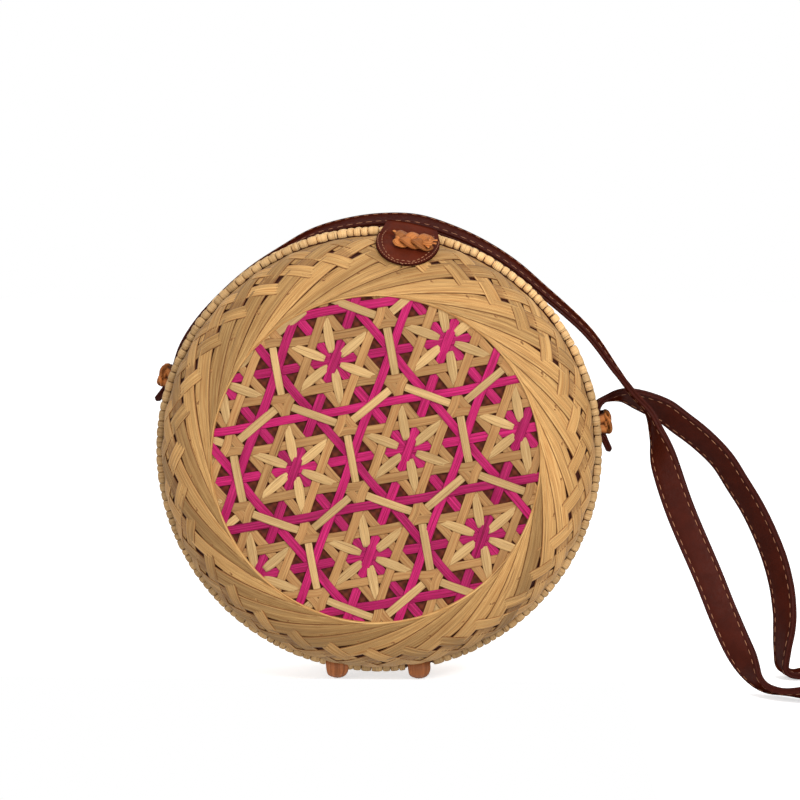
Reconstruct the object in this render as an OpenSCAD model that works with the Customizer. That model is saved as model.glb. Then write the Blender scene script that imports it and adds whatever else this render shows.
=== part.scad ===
// Round woven shoulder bag: two cane dishes hinged at the bottom, a leather tab on top and a leather strap.
// It stands upright on its two hinge loops. +Z is up, the front faces -Y, and the floor is z = 0.

/* [Bag] */
// Outer radius of the bound rims
bag_r = 100; // [90:1:120]
// Depth of one half, from the parting plane to the front of its shoulder
half_depth = 39.6; // [36:0.2:46]
// Gap between the two bound rims when the bag is shut
rim_gap = 0.6; // [0.4:0.1:1]
// Radius of the opening that shows the star weave
opening_r = 72; // [66:0.5:76]
// Thickness of the woven wall
wall_t = 2.2; // [1.8:0.1:2.6]
// How far the wall stands in from the outside of the rims
wall_inset = 2; // [1.6:0.1:3]
// Width of the rounded shoulder, seen from the front
shoulder_w = 36; // [34:0.5:40]
// Depth at which the shoulder starts to round
shoulder_start = 3; // [2:0.2:4]

/* [Rims] */
// Radius of the cane binding round each rim
binding_r = 1.8; // [1.5:0.1:2.2]
// Radius of the hoop inside the binding
hoop_r = 0.9; // [0.6:0.05:1]
// Clearance between hoop and binding
hoop_fit = 0.1; // [0.05:0.05:0.2]

/* [Star weave] */
// Distance between two star centres
star_pitch = 50.2; // [44:0.2:56]
// Turn of the pattern, anticlockwise
star_turn = 10.3; // [0:0.1:30]
// Place of one star, to the right of the panel's middle
star_x = 14.1; // [0:0.1:25]
// Place of the same star, above the panel's middle
star_y = 4.9; // [0:0.1:25]
// Width of the dyed strips through the stars
star_strip_w = 4.1; // [3:0.1:4.5]
// Width of the dyed strips between the stars
ring_strip_w = 3.5; // [3:0.1:4.5]
// Width of the natural strips
natural_strip_w = 3.3; // [2.6:0.1:4]
// Width of the short struts on top
strut_w = 3.2; // [2.6:0.1:4]
// Thickness of one strip
strip_t = 0.42; // [0.3:0.02:0.5]
// Height from one layer of strips to the next
layer_rise = 0.45; // [0.44:0.01:0.55]
// Length of the struts between two rings of stars
strut_len = 22; // [18:0.5:24]
// Where a star's petals start, from its centre
petal_start = 4.5; // [4:0.1:6]
// Where a star's petals end, from its centre
petal_end = 25; // [22:0.5:26]
// Thickness of the plain woven ground behind the stars
ground_t = 1.2; // [0.8:0.1:1.6]
// Overlap of the ground behind the edge of the opening
ground_lap = 1.7; // [1.2:0.1:2.4]

/* [Lining] */
// Thickness of the cotton lining
lining_t = 0.8; // [0.5:0.1:1.2]

/* [Hinge loops] */
// Distance from the middle of the bag to each loop
loop_x = 18.5; // [16:0.5:30]
// Width of a loop
loop_w = 10; // [7:0.5:12]
// Inner radius of a loop
loop_in_r = 4.2; // [4.2:0.1:5]
// Thickness of a loop
loop_t = 1.3; // [1:0.1:1.6]
// Height of the hinge axis above the bottom of the rims
hinge_rise = 1.2; // [1:0.1:1.2]
// Depth of the flat that a loop stands on
loop_flat = 0.25; // [0.15:0.05:0.4]
// Clearance of a loop in its slot
loop_fit = 0.3; // [0.2:0.05:0.4]

/* [Tab] */
// Angle of the tab from the top, clockwise
tab_angle = 8; // [0:1:15]
// Width of the tab
tab_w = 28; // [24:0.5:34]
// Thickness of one layer of the tab's leather
tab_t = 0.8; // [0.7:0.05:1.2]
// Place of the fold, in front of the parting plane
tab_fold_y = 4.3; // [4.3:0.1:5]
// Length of the loose end behind the parting plane
tab_reach = 11.2; // [10.6:0.1:11.6]
// Angle round the shoulder at which the tab's front end lies
tab_end_angle = 52; // [44:1:58]
// Radius of the magnets
magnet_r = 2.8; // [2.4:0.1:2.9]
// Thickness of the magnet in the tab
magnet_t = 0.6; // [0.5:0.05:0.65]
// Thickness of the steel keeper in the back wall
keeper_t = 1.2; // [0.8:0.1:1.3]
// Place of the magnets behind the parting plane
magnet_y = 7.5; // [7.4:0.1:7.7]

/* [Strap] */
// Width of the strap
strap_w = 13; // [10:0.5:13]
// Thickness of the strap, both layers together
strap_t = 3; // [2:0.1:3]
// Seam between the strap's two layers
strap_seam = 0.06; // [0.04:0.01:0.1]
// Radius of the strap's inner face round the bag
strap_in_r = 98.4; // [98:0.1:99]
// Place of the strap's middle behind the parting plane
strap_y = 19; // [19:0.1:20]

/* [Knots] */
// Length of a braided knot
knot_len = 18; // [15:0.5:20]
// Width of a braided knot
knot_w = 11; // [8:0.5:12]
// Radius of the cane that the knots are braided from
knot_cane_r = 1.3; // [1:0.05:1.5]
// Radius of the legs that tie a strap knot to the wall
leg_r = 1; // [0.7:0.05:1.1]

/* [Hidden] */
$fn = 64;
// Clearance between soft or curved neighbours
fit = 0.3;
// Clearance between layers that lie on each other
lay_fit = 0.1;
// Overrun of every cut
over = 1;

// Heights: the loops stand on the floor, and the bag's centre lies above the hinge axis
loop_out_r = loop_in_r + loop_t;
hinge_z = loop_out_r - loop_flat;
centre_z = hinge_z + bag_r - hinge_rise;

// Rims
rim_r = bag_r - binding_r;
rim_d = rim_gap / 2 + binding_r;
wall_start = rim_d + binding_r + lay_fit;

// Shoulder: a quarter ellipse from the rim to the opening, in radius and depth
wall_r = bag_r - wall_inset;
shoulder_r = wall_r - shoulder_w;
opening_share = (opening_r - shoulder_r) / shoulder_w;
shoulder_d = (half_depth - shoulder_start) / sqrt(1 - opening_share * opening_share);
shoulder_steps = 14;

// Radius of the ellipse that lies out from the wall's outside by a distance, at a depth
function shoulder_at(d, out = 0) =
    let (share = min(1, max(0, d - shoulder_start) / (shoulder_d + out)))
    shoulder_r + (shoulder_w + out) * sqrt(1 - share * share);

// Angle on the same ellipse at a depth, and its point at an angle
function shoulder_angle(d, out = 0) = asin(min(1, (d - shoulder_start) / (shoulder_d + out)));
function shoulder_point(a, out = 0) = [
    shoulder_r + (shoulder_w + out) * cos(a),
    shoulder_start + (shoulder_d + out) * sin(a)
];

// Seats behind the opening
seat_d = shoulder_start
    + (shoulder_d - wall_t) * sqrt(1 - pow((opening_r - shoulder_r) / (shoulder_w - wall_t), 2));
ground_r = opening_r + ground_lap;
weave_r = opening_r - fit;
lining_back = seat_d - ground_t - fit;

// Star weave: every fourth row of lines runs through the stars
row = star_pitch * sin(60);
line_gap = row / 4;
star_reach = 3;
line_reach = 9;
knot_gap = star_pitch / sqrt(3);
shortest_strip = 4;

// Tab, across the shoulder
tab_in_r = bag_r + fit;
tab_sweep = 2 * asin(tab_w / 2 / opening_r) + 4;
tab_steps = 14;
tab_lift = tab_in_r - shoulder_at(tab_fold_y + fit, fit);
tab_lift_share = 0.3;
tab_start_angle = shoulder_angle(tab_fold_y + fit, fit);
tab_round_share = 0.34;
flap_round_share = 0.25;
flap_bend_y = rim_d + fit;
flap_end_r = shoulder_at(tab_reach) + fit;
flap_fall = (tab_in_r - flap_end_r) / (tab_reach - flap_bend_y);
flap_shift = tan(atan(flap_fall) / 2);
keeper_gap = 0.5;
tab_knot_angle = 30;
tab_knot_side = tab_w * 0.095;

// Strap: its middle, its hold on the wall and its free route. The shares are of the bag's radius.
strap_r = strap_in_r + strap_t / 2;
strap_left_angle = -80;
strap_meet_angle = 79;
strap_right_angle = 89.5;
strap_wrap_step = 9;
knot_left_angle = -72;
knot_right_angle = 83.5;
// How far it arches off the bag at each step from the left knot on
arch_shares = [0, 0.010, 0.005, 0, 0, 0.005, 0.026, 0.037, 0.048, 0.056, 0.046, 0.039, 0.036, 0.036];
// Across, behind the parting plane, above the floor, then the way from the near edge to the far edge
fall_shares = [
    [0.932, 0.168, 1.577, -0.10, 0.99, -0.10],
    [1.066, 0.100, 1.399, -0.12, 0.98, -0.10],
    [1.134, 0.050, 1.310, -0.10, 0.98, -0.06],
    [1.208, 0.000, 1.224, -0.12, 0.99, 0.00],
    [1.246, -0.040, 1.122, -0.35, 0.93, -0.10],
    [1.284, -0.100, 0.980, -0.88, 0.45, -0.30],
    [1.349, -0.160, 0.788, -0.90, 0.20, -0.38],
    [1.464, -0.210, 0.522, -0.90, 0.05, -0.42],
    [1.536, -0.240, 0.345, -0.90, 0.10, -0.42],
    [1.610, -0.285, 0.184, -0.78, 0.45, -0.44],
    [1.690, -0.335, 0.064, -0.10, 0.88, -0.40],
    [1.805, -0.420, 0.036, 0.38, 0.86, -0.25]
];
// Lying on the floor: across, behind the parting plane, then the same way across the strap
floor_shares = [
    [1.990, -0.560, 0.35, 0.60, -0.70],
    [2.240, -0.690, 0.10, 0.20, -0.97],
    [2.580, -0.770, 0.00, 0.00, -1.00],
    [2.980, -0.720, 0.00, 0.00, -1.00],
    [3.320, -0.520, 0.00, 0.00, -1.00],
    [3.540, -0.180, 0.00, 0.00, -1.00],
    [3.560, 0.240, 0.00, 0.00, -1.00],
    [3.380, 0.620, 0.00, 0.00, -1.00],
    [3.040, 0.860, 0.00, 0.00, -1.00],
    [2.640, 0.880, 0.00, 0.00, -1.00],
    [2.340, 0.740, -0.05, 0.05, -0.99],
    [2.160, 0.520, -0.20, 0.20, -0.95],
    [2.070, 0.300, -0.60, 0.40, -0.66]
];
rise_shares = [
    [1.975, 0.150, 0.035, -0.50, 0.80, -0.25],
    [1.900, 0.090, 0.021, -0.20, 0.97, 0.00],
    [1.837, 0.075, 0.045, -0.20, 0.97, 0.00],
    [1.834, 0.085, 0.129, -0.35, 0.93, 0.00],
    [1.843, 0.105, 0.219, -0.55, 0.83, 0.00],
    [1.846, 0.130, 0.300, -0.62, 0.78, 0.00],
    [1.835, 0.170, 0.409, -0.68, 0.73, 0.00],
    [1.806, 0.200, 0.526, -0.72, 0.69, -0.10],
    [1.757, 0.220, 0.651, -0.70, 0.70, -0.20],
    [1.700, 0.235, 0.765, -0.64, 0.69, -0.33],
    [1.633, 0.245, 0.872, -0.60, 0.66, -0.41],
    [1.563, 0.250, 0.979, -0.56, 0.66, -0.48],
    [1.470, 0.250, 1.072, -0.53, 0.60, -0.57],
    [1.370, 0.250, 1.149, -0.45, 0.56, -0.68],
    [1.292, 0.255, 1.205, -0.36, 0.58, -0.72],
    [1.183, 0.248, 1.253, -0.15, 0.74, -0.62],
    [1.112, 0.235, 1.276, 0.00, 0.90, -0.40],
    [1.046, 0.208, 1.270, 0.00, 0.97, -0.20]
];
strap_samples = 3;
strap_tip_shares = [0.35, 0.75, 0.95];

// Braided knots: canes laid slantwise in turn
knot_canes = 6;
knot_slant = 38;
knot_lift_share = 0.4;

// Frames of the two halves: x to the right and y up as seen from outside, z out along the depth
module front_half() {
    translate([0, 0, centre_z]) rotate([90, 0, 0]) children();
}
module back_half() {
    translate([0, 0, centre_z]) rotate([90, 0, 180]) children();
}

// Frame on the rim at an angle from the top: x along the rim, y along the depth to the back, z out
module at_rim(angle) {
    translate([0, 0, centre_z]) rotate([0, angle, 0]) children();
}

// Slots that the hinge loops turn in, from their inner face out
module loop_slots(reach) {
    for (side = [-1, 1])
        translate([side * loop_x, 0, hinge_z])
            rotate([0, 90, 0])
                rotate_extrude()
                    translate([loop_in_r - loop_fit, -loop_w / 2 - loop_fit])
                        square([reach + loop_fit, loop_w + 2 * loop_fit]);
}

// Points of a shoulder line, from where it starts to where it ends
function shoulder_line(out, d_from, a_to) =
    let (a_from = shoulder_angle(d_from, out))
    [for (i = [0:shoulder_steps]) shoulder_point(a_from + (a_to - a_from) * i / shoulder_steps, out)];

function backwards(list) = [for (i = [len(list) - 1:-1:0]) list[i]];

module wall_ring() {
    outer = shoulder_line(0, wall_start, acos((opening_r - shoulder_r) / shoulder_w));
    inner = shoulder_line(-wall_t, wall_start, acos((opening_r - shoulder_r) / (shoulder_w - wall_t)));
    difference() {
        rotate_extrude($fn = 128) polygon(concat(outer, backwards(inner)));
        translate([0, 0, seat_d - wall_t]) cylinder(h = wall_t, r = ground_r + fit, $fn = 128);
    }
}

module lining_dish() {
    out = -wall_t - fit;
    outer = shoulder_line(out, wall_start, shoulder_angle(lining_back, out));
    inner = shoulder_line(out - lining_t, wall_start, shoulder_angle(lining_back - lining_t, out - lining_t));
    rotate_extrude($fn = 128)
        polygon(concat(
            outer,
            [[0, lining_back], [0, lining_back - lining_t]],
            backwards(inner)
        ));
}

module rim_ring(r_out, r_in) {
    rotate_extrude($fn = 128)
        translate([rim_r, rim_d])
            difference() {
                circle(r = r_out);
                if (r_in > 0) circle(r = r_in);
            }
}

module ground_disc() {
    translate([0, 0, seat_d - ground_t]) cylinder(h = ground_t, r = ground_r, $fn = 128);
}

// One strip of the panel: a bar cut to the round opening
module panel_bar(place, angle, len_lo, len_hi, w, layer) {
    translate([place[0], place[1], seat_d + layer * layer_rise])
        rotate([0, 0, angle])
            translate([len_lo, -w / 2, 0])
                cube([len_hi - len_lo, w, strip_t]);
}

// Lines of one direction: those of every fourth step run through the stars
module weave_lines(steps, w) {
    for (family = [0:2]) {
        angle = star_turn + family * 60;
        across = [-sin(angle), cos(angle)];
        layer = [1, 2, 0][family];
        for (k = [-line_reach:line_reach])
            if ((k + 4 * line_reach) % 4 == steps) {
                off = star_x * across[0] + star_y * across[1] + k * line_gap;
                edge = abs(off) + w / 2;
                if (edge < weave_r - shortest_strip) {
                    half = sqrt(weave_r * weave_r - edge * edge);
                    panel_bar(off * across, angle, -half, half, w, layer);
                }
            }
    }
}

// A short bar on top, cut where it reaches the edge of the opening
module short_bar(place, angle, from, to) {
    along = [cos(angle), sin(angle)];
    b = place * along;
    reach = weave_r - strut_w / 2;
    free = b * b - place * place + reach * reach;
    if (free > 0) {
        lo = max(from, -b - sqrt(free));
        hi = min(to, -b + sqrt(free));
        if (hi - lo > shortest_strip) panel_bar(place, angle, lo, hi, strut_w, 3);
    }
}

module star_dyed() {
    weave_lines(0, star_strip_w);
    weave_lines(2, ring_strip_w);
}
module star_natural() {
    weave_lines(1, natural_strip_w);
    weave_lines(3, natural_strip_w);
}
module star_struts() {
    side = star_pitch * [cos(star_turn), sin(star_turn)];
    rise = star_pitch * [cos(star_turn + 60), sin(star_turn + 60)];
    for (i = [-star_reach:star_reach])
        for (j = [-star_reach:star_reach]) {
            star = [star_x, star_y] + i * side + j * rise;
            for (turn = [0:2]) {
                angle = star_turn + turn * 60;
                middle = star + star_pitch / 2 * [cos(angle), sin(angle)];
                short_bar(middle, angle + 90, -strut_len / 2, strut_len / 2);
            }
            for (petal = [0:5])
                short_bar(star, star_turn + 30 + petal * 60, petal_start, petal_end);
        }
}

// Tab: a swept layer over the front shoulder, cut to its outline
module tab_front_layer(inner, outer) {
    function lift(i) = tab_lift * pow(max(0, 1 - i / tab_steps / tab_lift_share), 2);
    function line(out) = [
        for (i = [0:tab_steps])
            let (a = tab_start_angle + (tab_end_angle - tab_start_angle) * i / tab_steps)
            let (p = shoulder_point(a, fit + out))
            [p[0] + lift(i), max(p[1], tab_fold_y + fit)]
    ];
    end_r = shoulder_point(tab_end_angle, fit)[0];
    round_r = tab_w * tab_round_share;
    at_rim(tab_angle)
        intersection() {
            rotate([90, 0, 0])
                rotate([0, 0, 90 - tab_sweep / 2])
                    rotate_extrude(angle = tab_sweep, $fn = 128)
                        polygon(concat(line(inner), backwards(line(outer))));
            translate([0, tab_fold_y, 0])
                rotate([90, 0, 0])
                    linear_extrude(height = half_depth + 2 * tab_w)
                        polygon(concat(
                            [[tab_w / 2, bag_r + tab_w], [-tab_w / 2, bag_r + tab_w]],
                            [for (a = [180:12:360])
                                [tab_w / 2 * cos(a), end_r + round_r + round_r * sin(a)]]
                        ));
        }
}

// Loose end of the tab: level over the rims, then sloping to the back shoulder
module tab_flap_layer(low, high) {
    round_y = tab_w * flap_round_share;
    end_r = flap_end_r - over * flap_fall;
    at_rim(tab_angle)
        intersection() {
            rotate([90, 0, 0])
                rotate([0, 0, 90 - tab_sweep / 2])
                    rotate_extrude(angle = tab_sweep, $fn = 128)
                        polygon([
                            [tab_in_r + low, tab_fold_y],
                            [tab_in_r + high, tab_fold_y],
                            [tab_in_r + high, -flap_bend_y - flap_shift * high],
                            [end_r + high, -tab_reach - over],
                            [end_r + low, -tab_reach - over],
                            [tab_in_r + low, -flap_bend_y - flap_shift * low]
                        ]);
            linear_extrude(height = bag_r + tab_w)
                polygon(concat(
                    [[-tab_w / 2, -tab_fold_y], [tab_w / 2, -tab_fold_y]],
                    [for (a = [0:12:180])
                        [tab_w / 2 * cos(a), tab_reach - round_y + round_y * sin(a)]]
                ));
        }
}

// A disc on the sloping end of the tab, at a height over its underside
module magnet_disc(r, height, h) {
    at_rim(tab_angle)
        translate([0, magnet_y, tab_in_r - (magnet_y - flap_bend_y) * flap_fall])
            rotate([-atan(flap_fall), 0, 0])
                translate([0, 0, height])
                    cylinder(h = h, r = r);
}

// One cane of a braid: a rod with round ends
module cane(length, r) {
    translate([-length / 2, 0, 0]) rotate([0, 90, 0]) cylinder(h = length, r = r);
    for (end = [-1, 1]) translate([end * length / 2, 0, 0]) sphere(r = r);
}

// Braid along x, lying on z = 0
module braid() {
    step = (knot_len - knot_w / 2) / (knot_canes - 1);
    length = knot_w - 2 * knot_cane_r;
    for (i = [0:knot_canes - 1]) {
        lift = knot_cane_r * (1 + knot_lift_share * (i % 2));
        translate([(i - (knot_canes - 1) / 2) * step, 0, lift])
            rotate([0, 0, 90 + (i % 2 == 0 ? knot_slant : -knot_slant)])
                cane(length, knot_cane_r);
    }
    translate([0, 0, knot_cane_r * (1 + knot_lift_share)]) cane(knot_len - 2 * knot_cane_r, knot_cane_r);
}

module strap_knot(angle) {
    $fn = 12;
    foot = strap_in_r + strap_t + lay_fit;
    leg_off = strap_w / 2 + leg_r + fit * 2;
    at_rim(angle) {
        translate([0, strap_y, foot]) rotate([0, 0, 90]) braid();
        for (side = [-1, 1]) {
            y = strap_y + side * leg_off;
            low = shoulder_at(y - leg_r) + lay_fit;
            translate([0, y, low]) cylinder(h = foot + knot_cane_r - low, r = leg_r);
        }
    }
}

// Strap route: each place with the way across the strap
function wrap_place(angle, r = strap_r) = [
    [r * sin(angle), strap_y, centre_z + r * cos(angle)],
    [0, 1, 0]
];
function free_place(s) = [bag_r * [s[0], s[1], s[2]], unit([s[3], s[4], s[5]])];
function floor_place(s) =
    let (across = unit([s[2], s[3], s[4]]))
    let (lean = abs(across[2]))
    let (z = lean * strap_w / 2 + sqrt(1 - lean * lean) * strap_t / 2)
    [[bag_r * s[0], bag_r * s[1], z], across];
function unit(v) = v / norm(v);

strap_places = concat(
    [wrap_place(strap_left_angle, strap_r + strap_t / 2)],
    [for (i = [0:len(arch_shares) - 1])
        wrap_place(knot_left_angle + i * strap_wrap_step, strap_r + bag_r * arch_shares[i])],
    [for (s = fall_shares) free_place(s)],
    [for (s = floor_shares) floor_place(s)],
    [for (s = rise_shares) free_place(s)],
    [wrap_place(strap_meet_angle, strap_r + strap_t / 3)],
    [wrap_place(knot_right_angle)],
    [wrap_place(strap_right_angle, strap_r + strap_t / 2)]
);

// A smooth curve through the places
function blend(a, b, c, d, u) = (
    2 * b + (c - a) * u + (2 * a - 5 * b + 4 * c - d) * u * u + (3 * b - a - 3 * c + d) * u * u * u
) / 2;
function at(list, i) = list[max(0, min(len(list) - 1, i))];
function smooth(list, which) = [
    for (i = [0:len(list) - 2])
        for (k = [0:strap_samples - 1])
            blend(at(list, i - 1)[which], at(list, i)[which], at(list, i + 1)[which],
                at(list, i + 2)[which], k / strap_samples),
    list[len(list) - 1][which]
];
strap_line = smooth(strap_places, 0);
strap_across = smooth(strap_places, 1);

// Share of the full width at a ring: both tips are rounded
function tip_share(i) =
    let (end = min(i, len(strap_line) - 1 - i))
    end < len(strap_tip_shares) ? strap_tip_shares[end] : 1;

// Corners of the strap at a ring, between two heights over its middle
function strap_ring(i, low, high) =
    let (run = unit(at(strap_line, i + 1) - at(strap_line, i - 1)))
    let (across = unit(strap_across[i] - (strap_across[i] * run) * run))
    let (out = cross(run, across))
    let (half = strap_w / 2 * tip_share(i))
    [for (c = [[-1, low], [1, low], [1, high], [-1, high]])
        strap_line[i] + c[0] * half * across + c[1] * out];

module strap_layer(low, high) {
    rings = len(strap_line);
    points = [for (i = [0:rings - 1]) for (p = strap_ring(i, low, high)) p];
    sides = [
        for (i = [0:rings - 2])
            for (k = [0:3])
                let (a = 4 * i + k)
                let (b = 4 * i + (k + 1) % 4)
                for (f = k == 2 ? [[a, b, b + 4], [a, b + 4, a + 4]] : [[a, b, a + 4], [b, b + 4, a + 4]]) f
    ];
    last = 4 * (rings - 1);
    ends = [[0, 2, 1], [0, 3, 2], [last, last + 1, last + 2], [last, last + 2, last + 3]];
    polyhedron(points = points, faces = concat(sides, ends));
}

module hinge_loop(side) {
    color("peru")
        difference() {
            translate([side * loop_x, 0, hinge_z])
                rotate([0, 90, 0])
                    rotate_extrude()
                        translate([loop_in_r, -loop_w / 2]) square([loop_t, loop_w]);
            translate([side * loop_x - loop_w, -loop_out_r, -loop_out_r])
                cube([2 * loop_w, 2 * loop_out_r, loop_out_r]);
        }
}

module half_wall(back) {
    color("burlywood")
        difference() {
            if (back) back_half() wall_ring();
            else front_half() wall_ring();
            loop_slots(loop_t + loop_fit);
            if (back) magnet_disc(magnet_r + lay_fit, -keeper_gap - 2 * keeper_t, 3 * keeper_t);
        }
}
module half_binding(back) {
    color("wheat")
        difference() {
            if (back) back_half() rim_ring(binding_r, hoop_r + hoop_fit);
            else front_half() rim_ring(binding_r, hoop_r + hoop_fit);
            loop_slots(2 * binding_r);
        }
}
module half_hoop(back) {
    color("tan")
        difference() {
            if (back) back_half() rim_ring(hoop_r, 0);
            else front_half() rim_ring(hoop_r, 0);
            loop_slots(2 * binding_r);
        }
}

module back_wall() { half_wall(true); }
module back_ground_panel() { color("sienna") back_half() ground_disc(); }
module back_star_dyed() { color("deeppink") back_half() star_dyed(); }
module back_star_natural() { color("tan") back_half() star_natural(); }
module back_star_struts() { color("burlywood") back_half() star_struts(); }
module back_rim_hoop() { half_hoop(true); }
module back_rim_binding() { half_binding(true); }
module back_lining() { color("beige") back_half() lining_dish(); }
module hinge_loop_left() { hinge_loop(-1); }
module hinge_loop_right() { hinge_loop(1); }
module clasp_keeper() {
    color("silver") magnet_disc(magnet_r, -keeper_gap - keeper_t, keeper_t);
}
module strap_top_leather() { color("saddlebrown") strap_layer(strap_seam / 2, strap_t / 2); }
module strap_backing_leather() { color("maroon") strap_layer(-strap_t / 2, -strap_seam / 2); }
module strap_knot_left() { color("peru") strap_knot(knot_left_angle); }
module strap_knot_right() { color("peru") strap_knot(knot_right_angle); }

module front_wall() { half_wall(false); }
module front_ground_panel() { color("sienna") front_half() ground_disc(); }
module front_star_dyed() { color("deeppink") front_half() star_dyed(); }
module front_star_natural() { color("tan") front_half() star_natural(); }
module front_star_struts() { color("burlywood") front_half() star_struts(); }
module front_rim_hoop() { half_hoop(false); }
module front_rim_binding() { half_binding(false); }
module front_lining() { color("beige") front_half() lining_dish(); }
module tab_front_leather() { color("saddlebrown") tab_front_layer(tab_t + strap_seam, 2 * tab_t); }
module tab_front_backing() { color("maroon") tab_front_layer(0, tab_t); }
module tab_knot() {
    out = fit + 2 * tab_t + lay_fit;
    foot = shoulder_point(tab_knot_angle, out);
    lean = atan2(sin(tab_knot_angle) / (shoulder_d + out), cos(tab_knot_angle) / (shoulder_w + out));
    color("peru")
        at_rim(tab_angle)
            translate([tab_knot_side, -foot[1], foot[0]])
                rotate([lean, 0, 0])
                    braid();
}

module tab_flap_leather() { color("saddlebrown") tab_flap_layer(tab_t + strap_seam, 2 * tab_t); }
module tab_flap_backing() {
    color("maroon")
        difference() {
            tab_flap_layer(0, tab_t);
            magnet_disc(magnet_r + lay_fit, -over, tab_t + over + lay_fit / 2);
        }
}
module tab_magnet() {
    color("silver") magnet_disc(magnet_r, lay_fit, magnet_t);
}

back_wall();
back_ground_panel();
back_star_dyed();
back_star_natural();
back_star_struts();
back_rim_hoop();
back_rim_binding();
back_lining();
hinge_loop_left();
hinge_loop_right();
clasp_keeper();
strap_top_leather();
strap_backing_leather();
strap_knot_left();
strap_knot_right();
front_wall();
front_ground_panel();
front_star_dyed();
front_star_natural();
front_star_struts();
front_rim_hoop();
front_rim_binding();
front_lining();
tab_front_leather();
tab_front_backing();
tab_knot();
tab_flap_leather();
tab_flap_backing();
tab_magnet();
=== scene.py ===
import math
from collections import namedtuple

import bmesh
import bpy
import numpy as np
from bpy.props import FloatProperty, FloatVectorProperty, IntProperty, PointerProperty
from mathutils import Matrix


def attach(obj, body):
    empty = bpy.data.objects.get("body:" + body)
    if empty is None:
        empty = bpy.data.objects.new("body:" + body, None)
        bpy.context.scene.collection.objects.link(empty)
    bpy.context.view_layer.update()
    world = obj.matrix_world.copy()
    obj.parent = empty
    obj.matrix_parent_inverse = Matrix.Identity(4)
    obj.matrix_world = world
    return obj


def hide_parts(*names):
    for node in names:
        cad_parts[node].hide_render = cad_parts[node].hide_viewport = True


bl_info = {
    "name": "Circle bag",
    "version": (1, 0, 0),
    "blender": (4, 5, 0),
    "location": "View3D > Sidebar > Circle bag",
    "description": "Dresses the packed model of a round woven cane shoulder bag",
    "category": "Object",
}

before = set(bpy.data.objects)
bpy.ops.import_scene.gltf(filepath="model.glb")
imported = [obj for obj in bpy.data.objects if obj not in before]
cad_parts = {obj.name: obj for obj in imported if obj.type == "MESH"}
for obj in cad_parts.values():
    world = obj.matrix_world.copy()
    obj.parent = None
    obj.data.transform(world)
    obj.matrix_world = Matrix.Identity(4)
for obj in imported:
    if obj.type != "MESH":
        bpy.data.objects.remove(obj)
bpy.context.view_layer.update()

MM = 0.001

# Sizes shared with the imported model, in mm and degrees
BAG_R = 100.0
CENTRE_Z = 104.05
HINGE_Z = 5.25
HINGE_LOOP_X = 18.5
OPENING_R = 72.0
# The shoulder's section is part of an ellipse: its middle and half axis, across and along the depth
SHOULDER_R, SHOULDER_WIDE = 62.0, 36.0
SHOULDER_D, SHOULDER_DEEP = 3.0, 38.1
GROUND_D = 37.3
RIM_R = 98.2
RIM_D = 2.1
FIT = 0.3
TAB_ANGLE = math.radians(8.0)
TAB_W = 28.0
TAB_T = 0.8
TAB_FOLD = 4.3
TAB_REACH = 11.2
TAB_END = math.radians(52.0)
STRAP_Y = 19.0
STRAP_IN_R = 98.4
STRAP_T = 3.0
LINING_OUT, LINING_T, LINING_START, LINING_BACK = -2.5, 0.8, 4.0, 35.8
BAG_CENTRE = np.array([0.0, 0.0, CENTRE_Z])
HALVES = (("front", "front_half", 1), ("back", "back_half", 2))

# The photo's view: its size in pixels, its scale, and where the camera stands
IMAGE_SIDE = 800
PIXELS_PER_MM = 2.226
VIEW_TURN, VIEW_RISE, VIEW_ROLL = math.radians(1.68), math.radians(5.33), math.radians(0.17)
VIEW_DISTANCE = 1223.4
VIEW_TARGET = (9.475, 0.0, CENTRE_Z + 22.83)


def srgb(red, green, blue):
    """Linear colour from a display colour of 0 to 255."""
    def one(value):
        value /= 255
        return value / 12.92 if value <= 0.04045 else ((value + 0.055) / 1.055) ** 2.4
    return (one(red), one(green), one(blue))


def colour_prop(name, what, value):
    """A colour of the panel."""
    return FloatVectorProperty(
        name=name, description=what, default=value, subtype="COLOR", size=3, min=0.0, max=1.0)


def length_prop(name, what, value, low, high):
    """A length of the panel, given in mm."""
    return FloatProperty(
        name=name, description=what, default=value * MM, min=low * MM, max=high * MM,
        subtype="DISTANCE", unit="LENGTH", precision=5)


class BagSizes(bpy.types.PropertyGroup):
    """Sizes of the woven, sewn and braided pieces"""
    shoulder_bands: IntProperty(
        name="Shoulder bands", description="Bands of cane round one shoulder", default=32, min=24, max=40)
    band_width: length_prop("Band width", "Width of a band of the shoulder", 8.0, 6, 9)
    cross_width: length_prop("Cross band width", "Width of a band that crosses the others", 6.8, 4, 8)
    cane_thickness: length_prop("Cane thickness", "Thickness of the shoulder's cane", 0.4, 0.2, 0.6)
    star_pitch: length_prop("Star pitch", "Distance between two stars", 50.2, 44, 56)
    star_strip: length_prop("Star strip width", "Width of the dyed strips through the stars", 4.1, 3, 4.5)
    ring_strip: length_prop("Ring strip width", "Width of the dyed strips between stars", 3.9, 3, 4.5)
    plain_strip: length_prop("Plain strip width", "Width of the natural strips", 3.9, 2.6, 4)
    strut_width: length_prop("Strut width", "Width of the top strips", 3.5, 2.6, 4)
    rim_wraps: IntProperty(
        name="Rim wraps", description="Wraps of cane round one rim", default=156, min=100, max=180)
    wrap_radius: length_prop("Wrap radius", "Radius of a wrap round the rim", 2.1, 1.5, 2.2)
    strap_width: length_prop("Strap width", "Width of the shoulder strap", 13.0, 10, 13)
    stitch_pitch: length_prop("Stitch pitch", "Distance from one stitch to the next", 4.4, 3, 6)
    stitch_length: length_prop("Stitch length", "Length of one stitch", 2.9, 2, 4)


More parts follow.
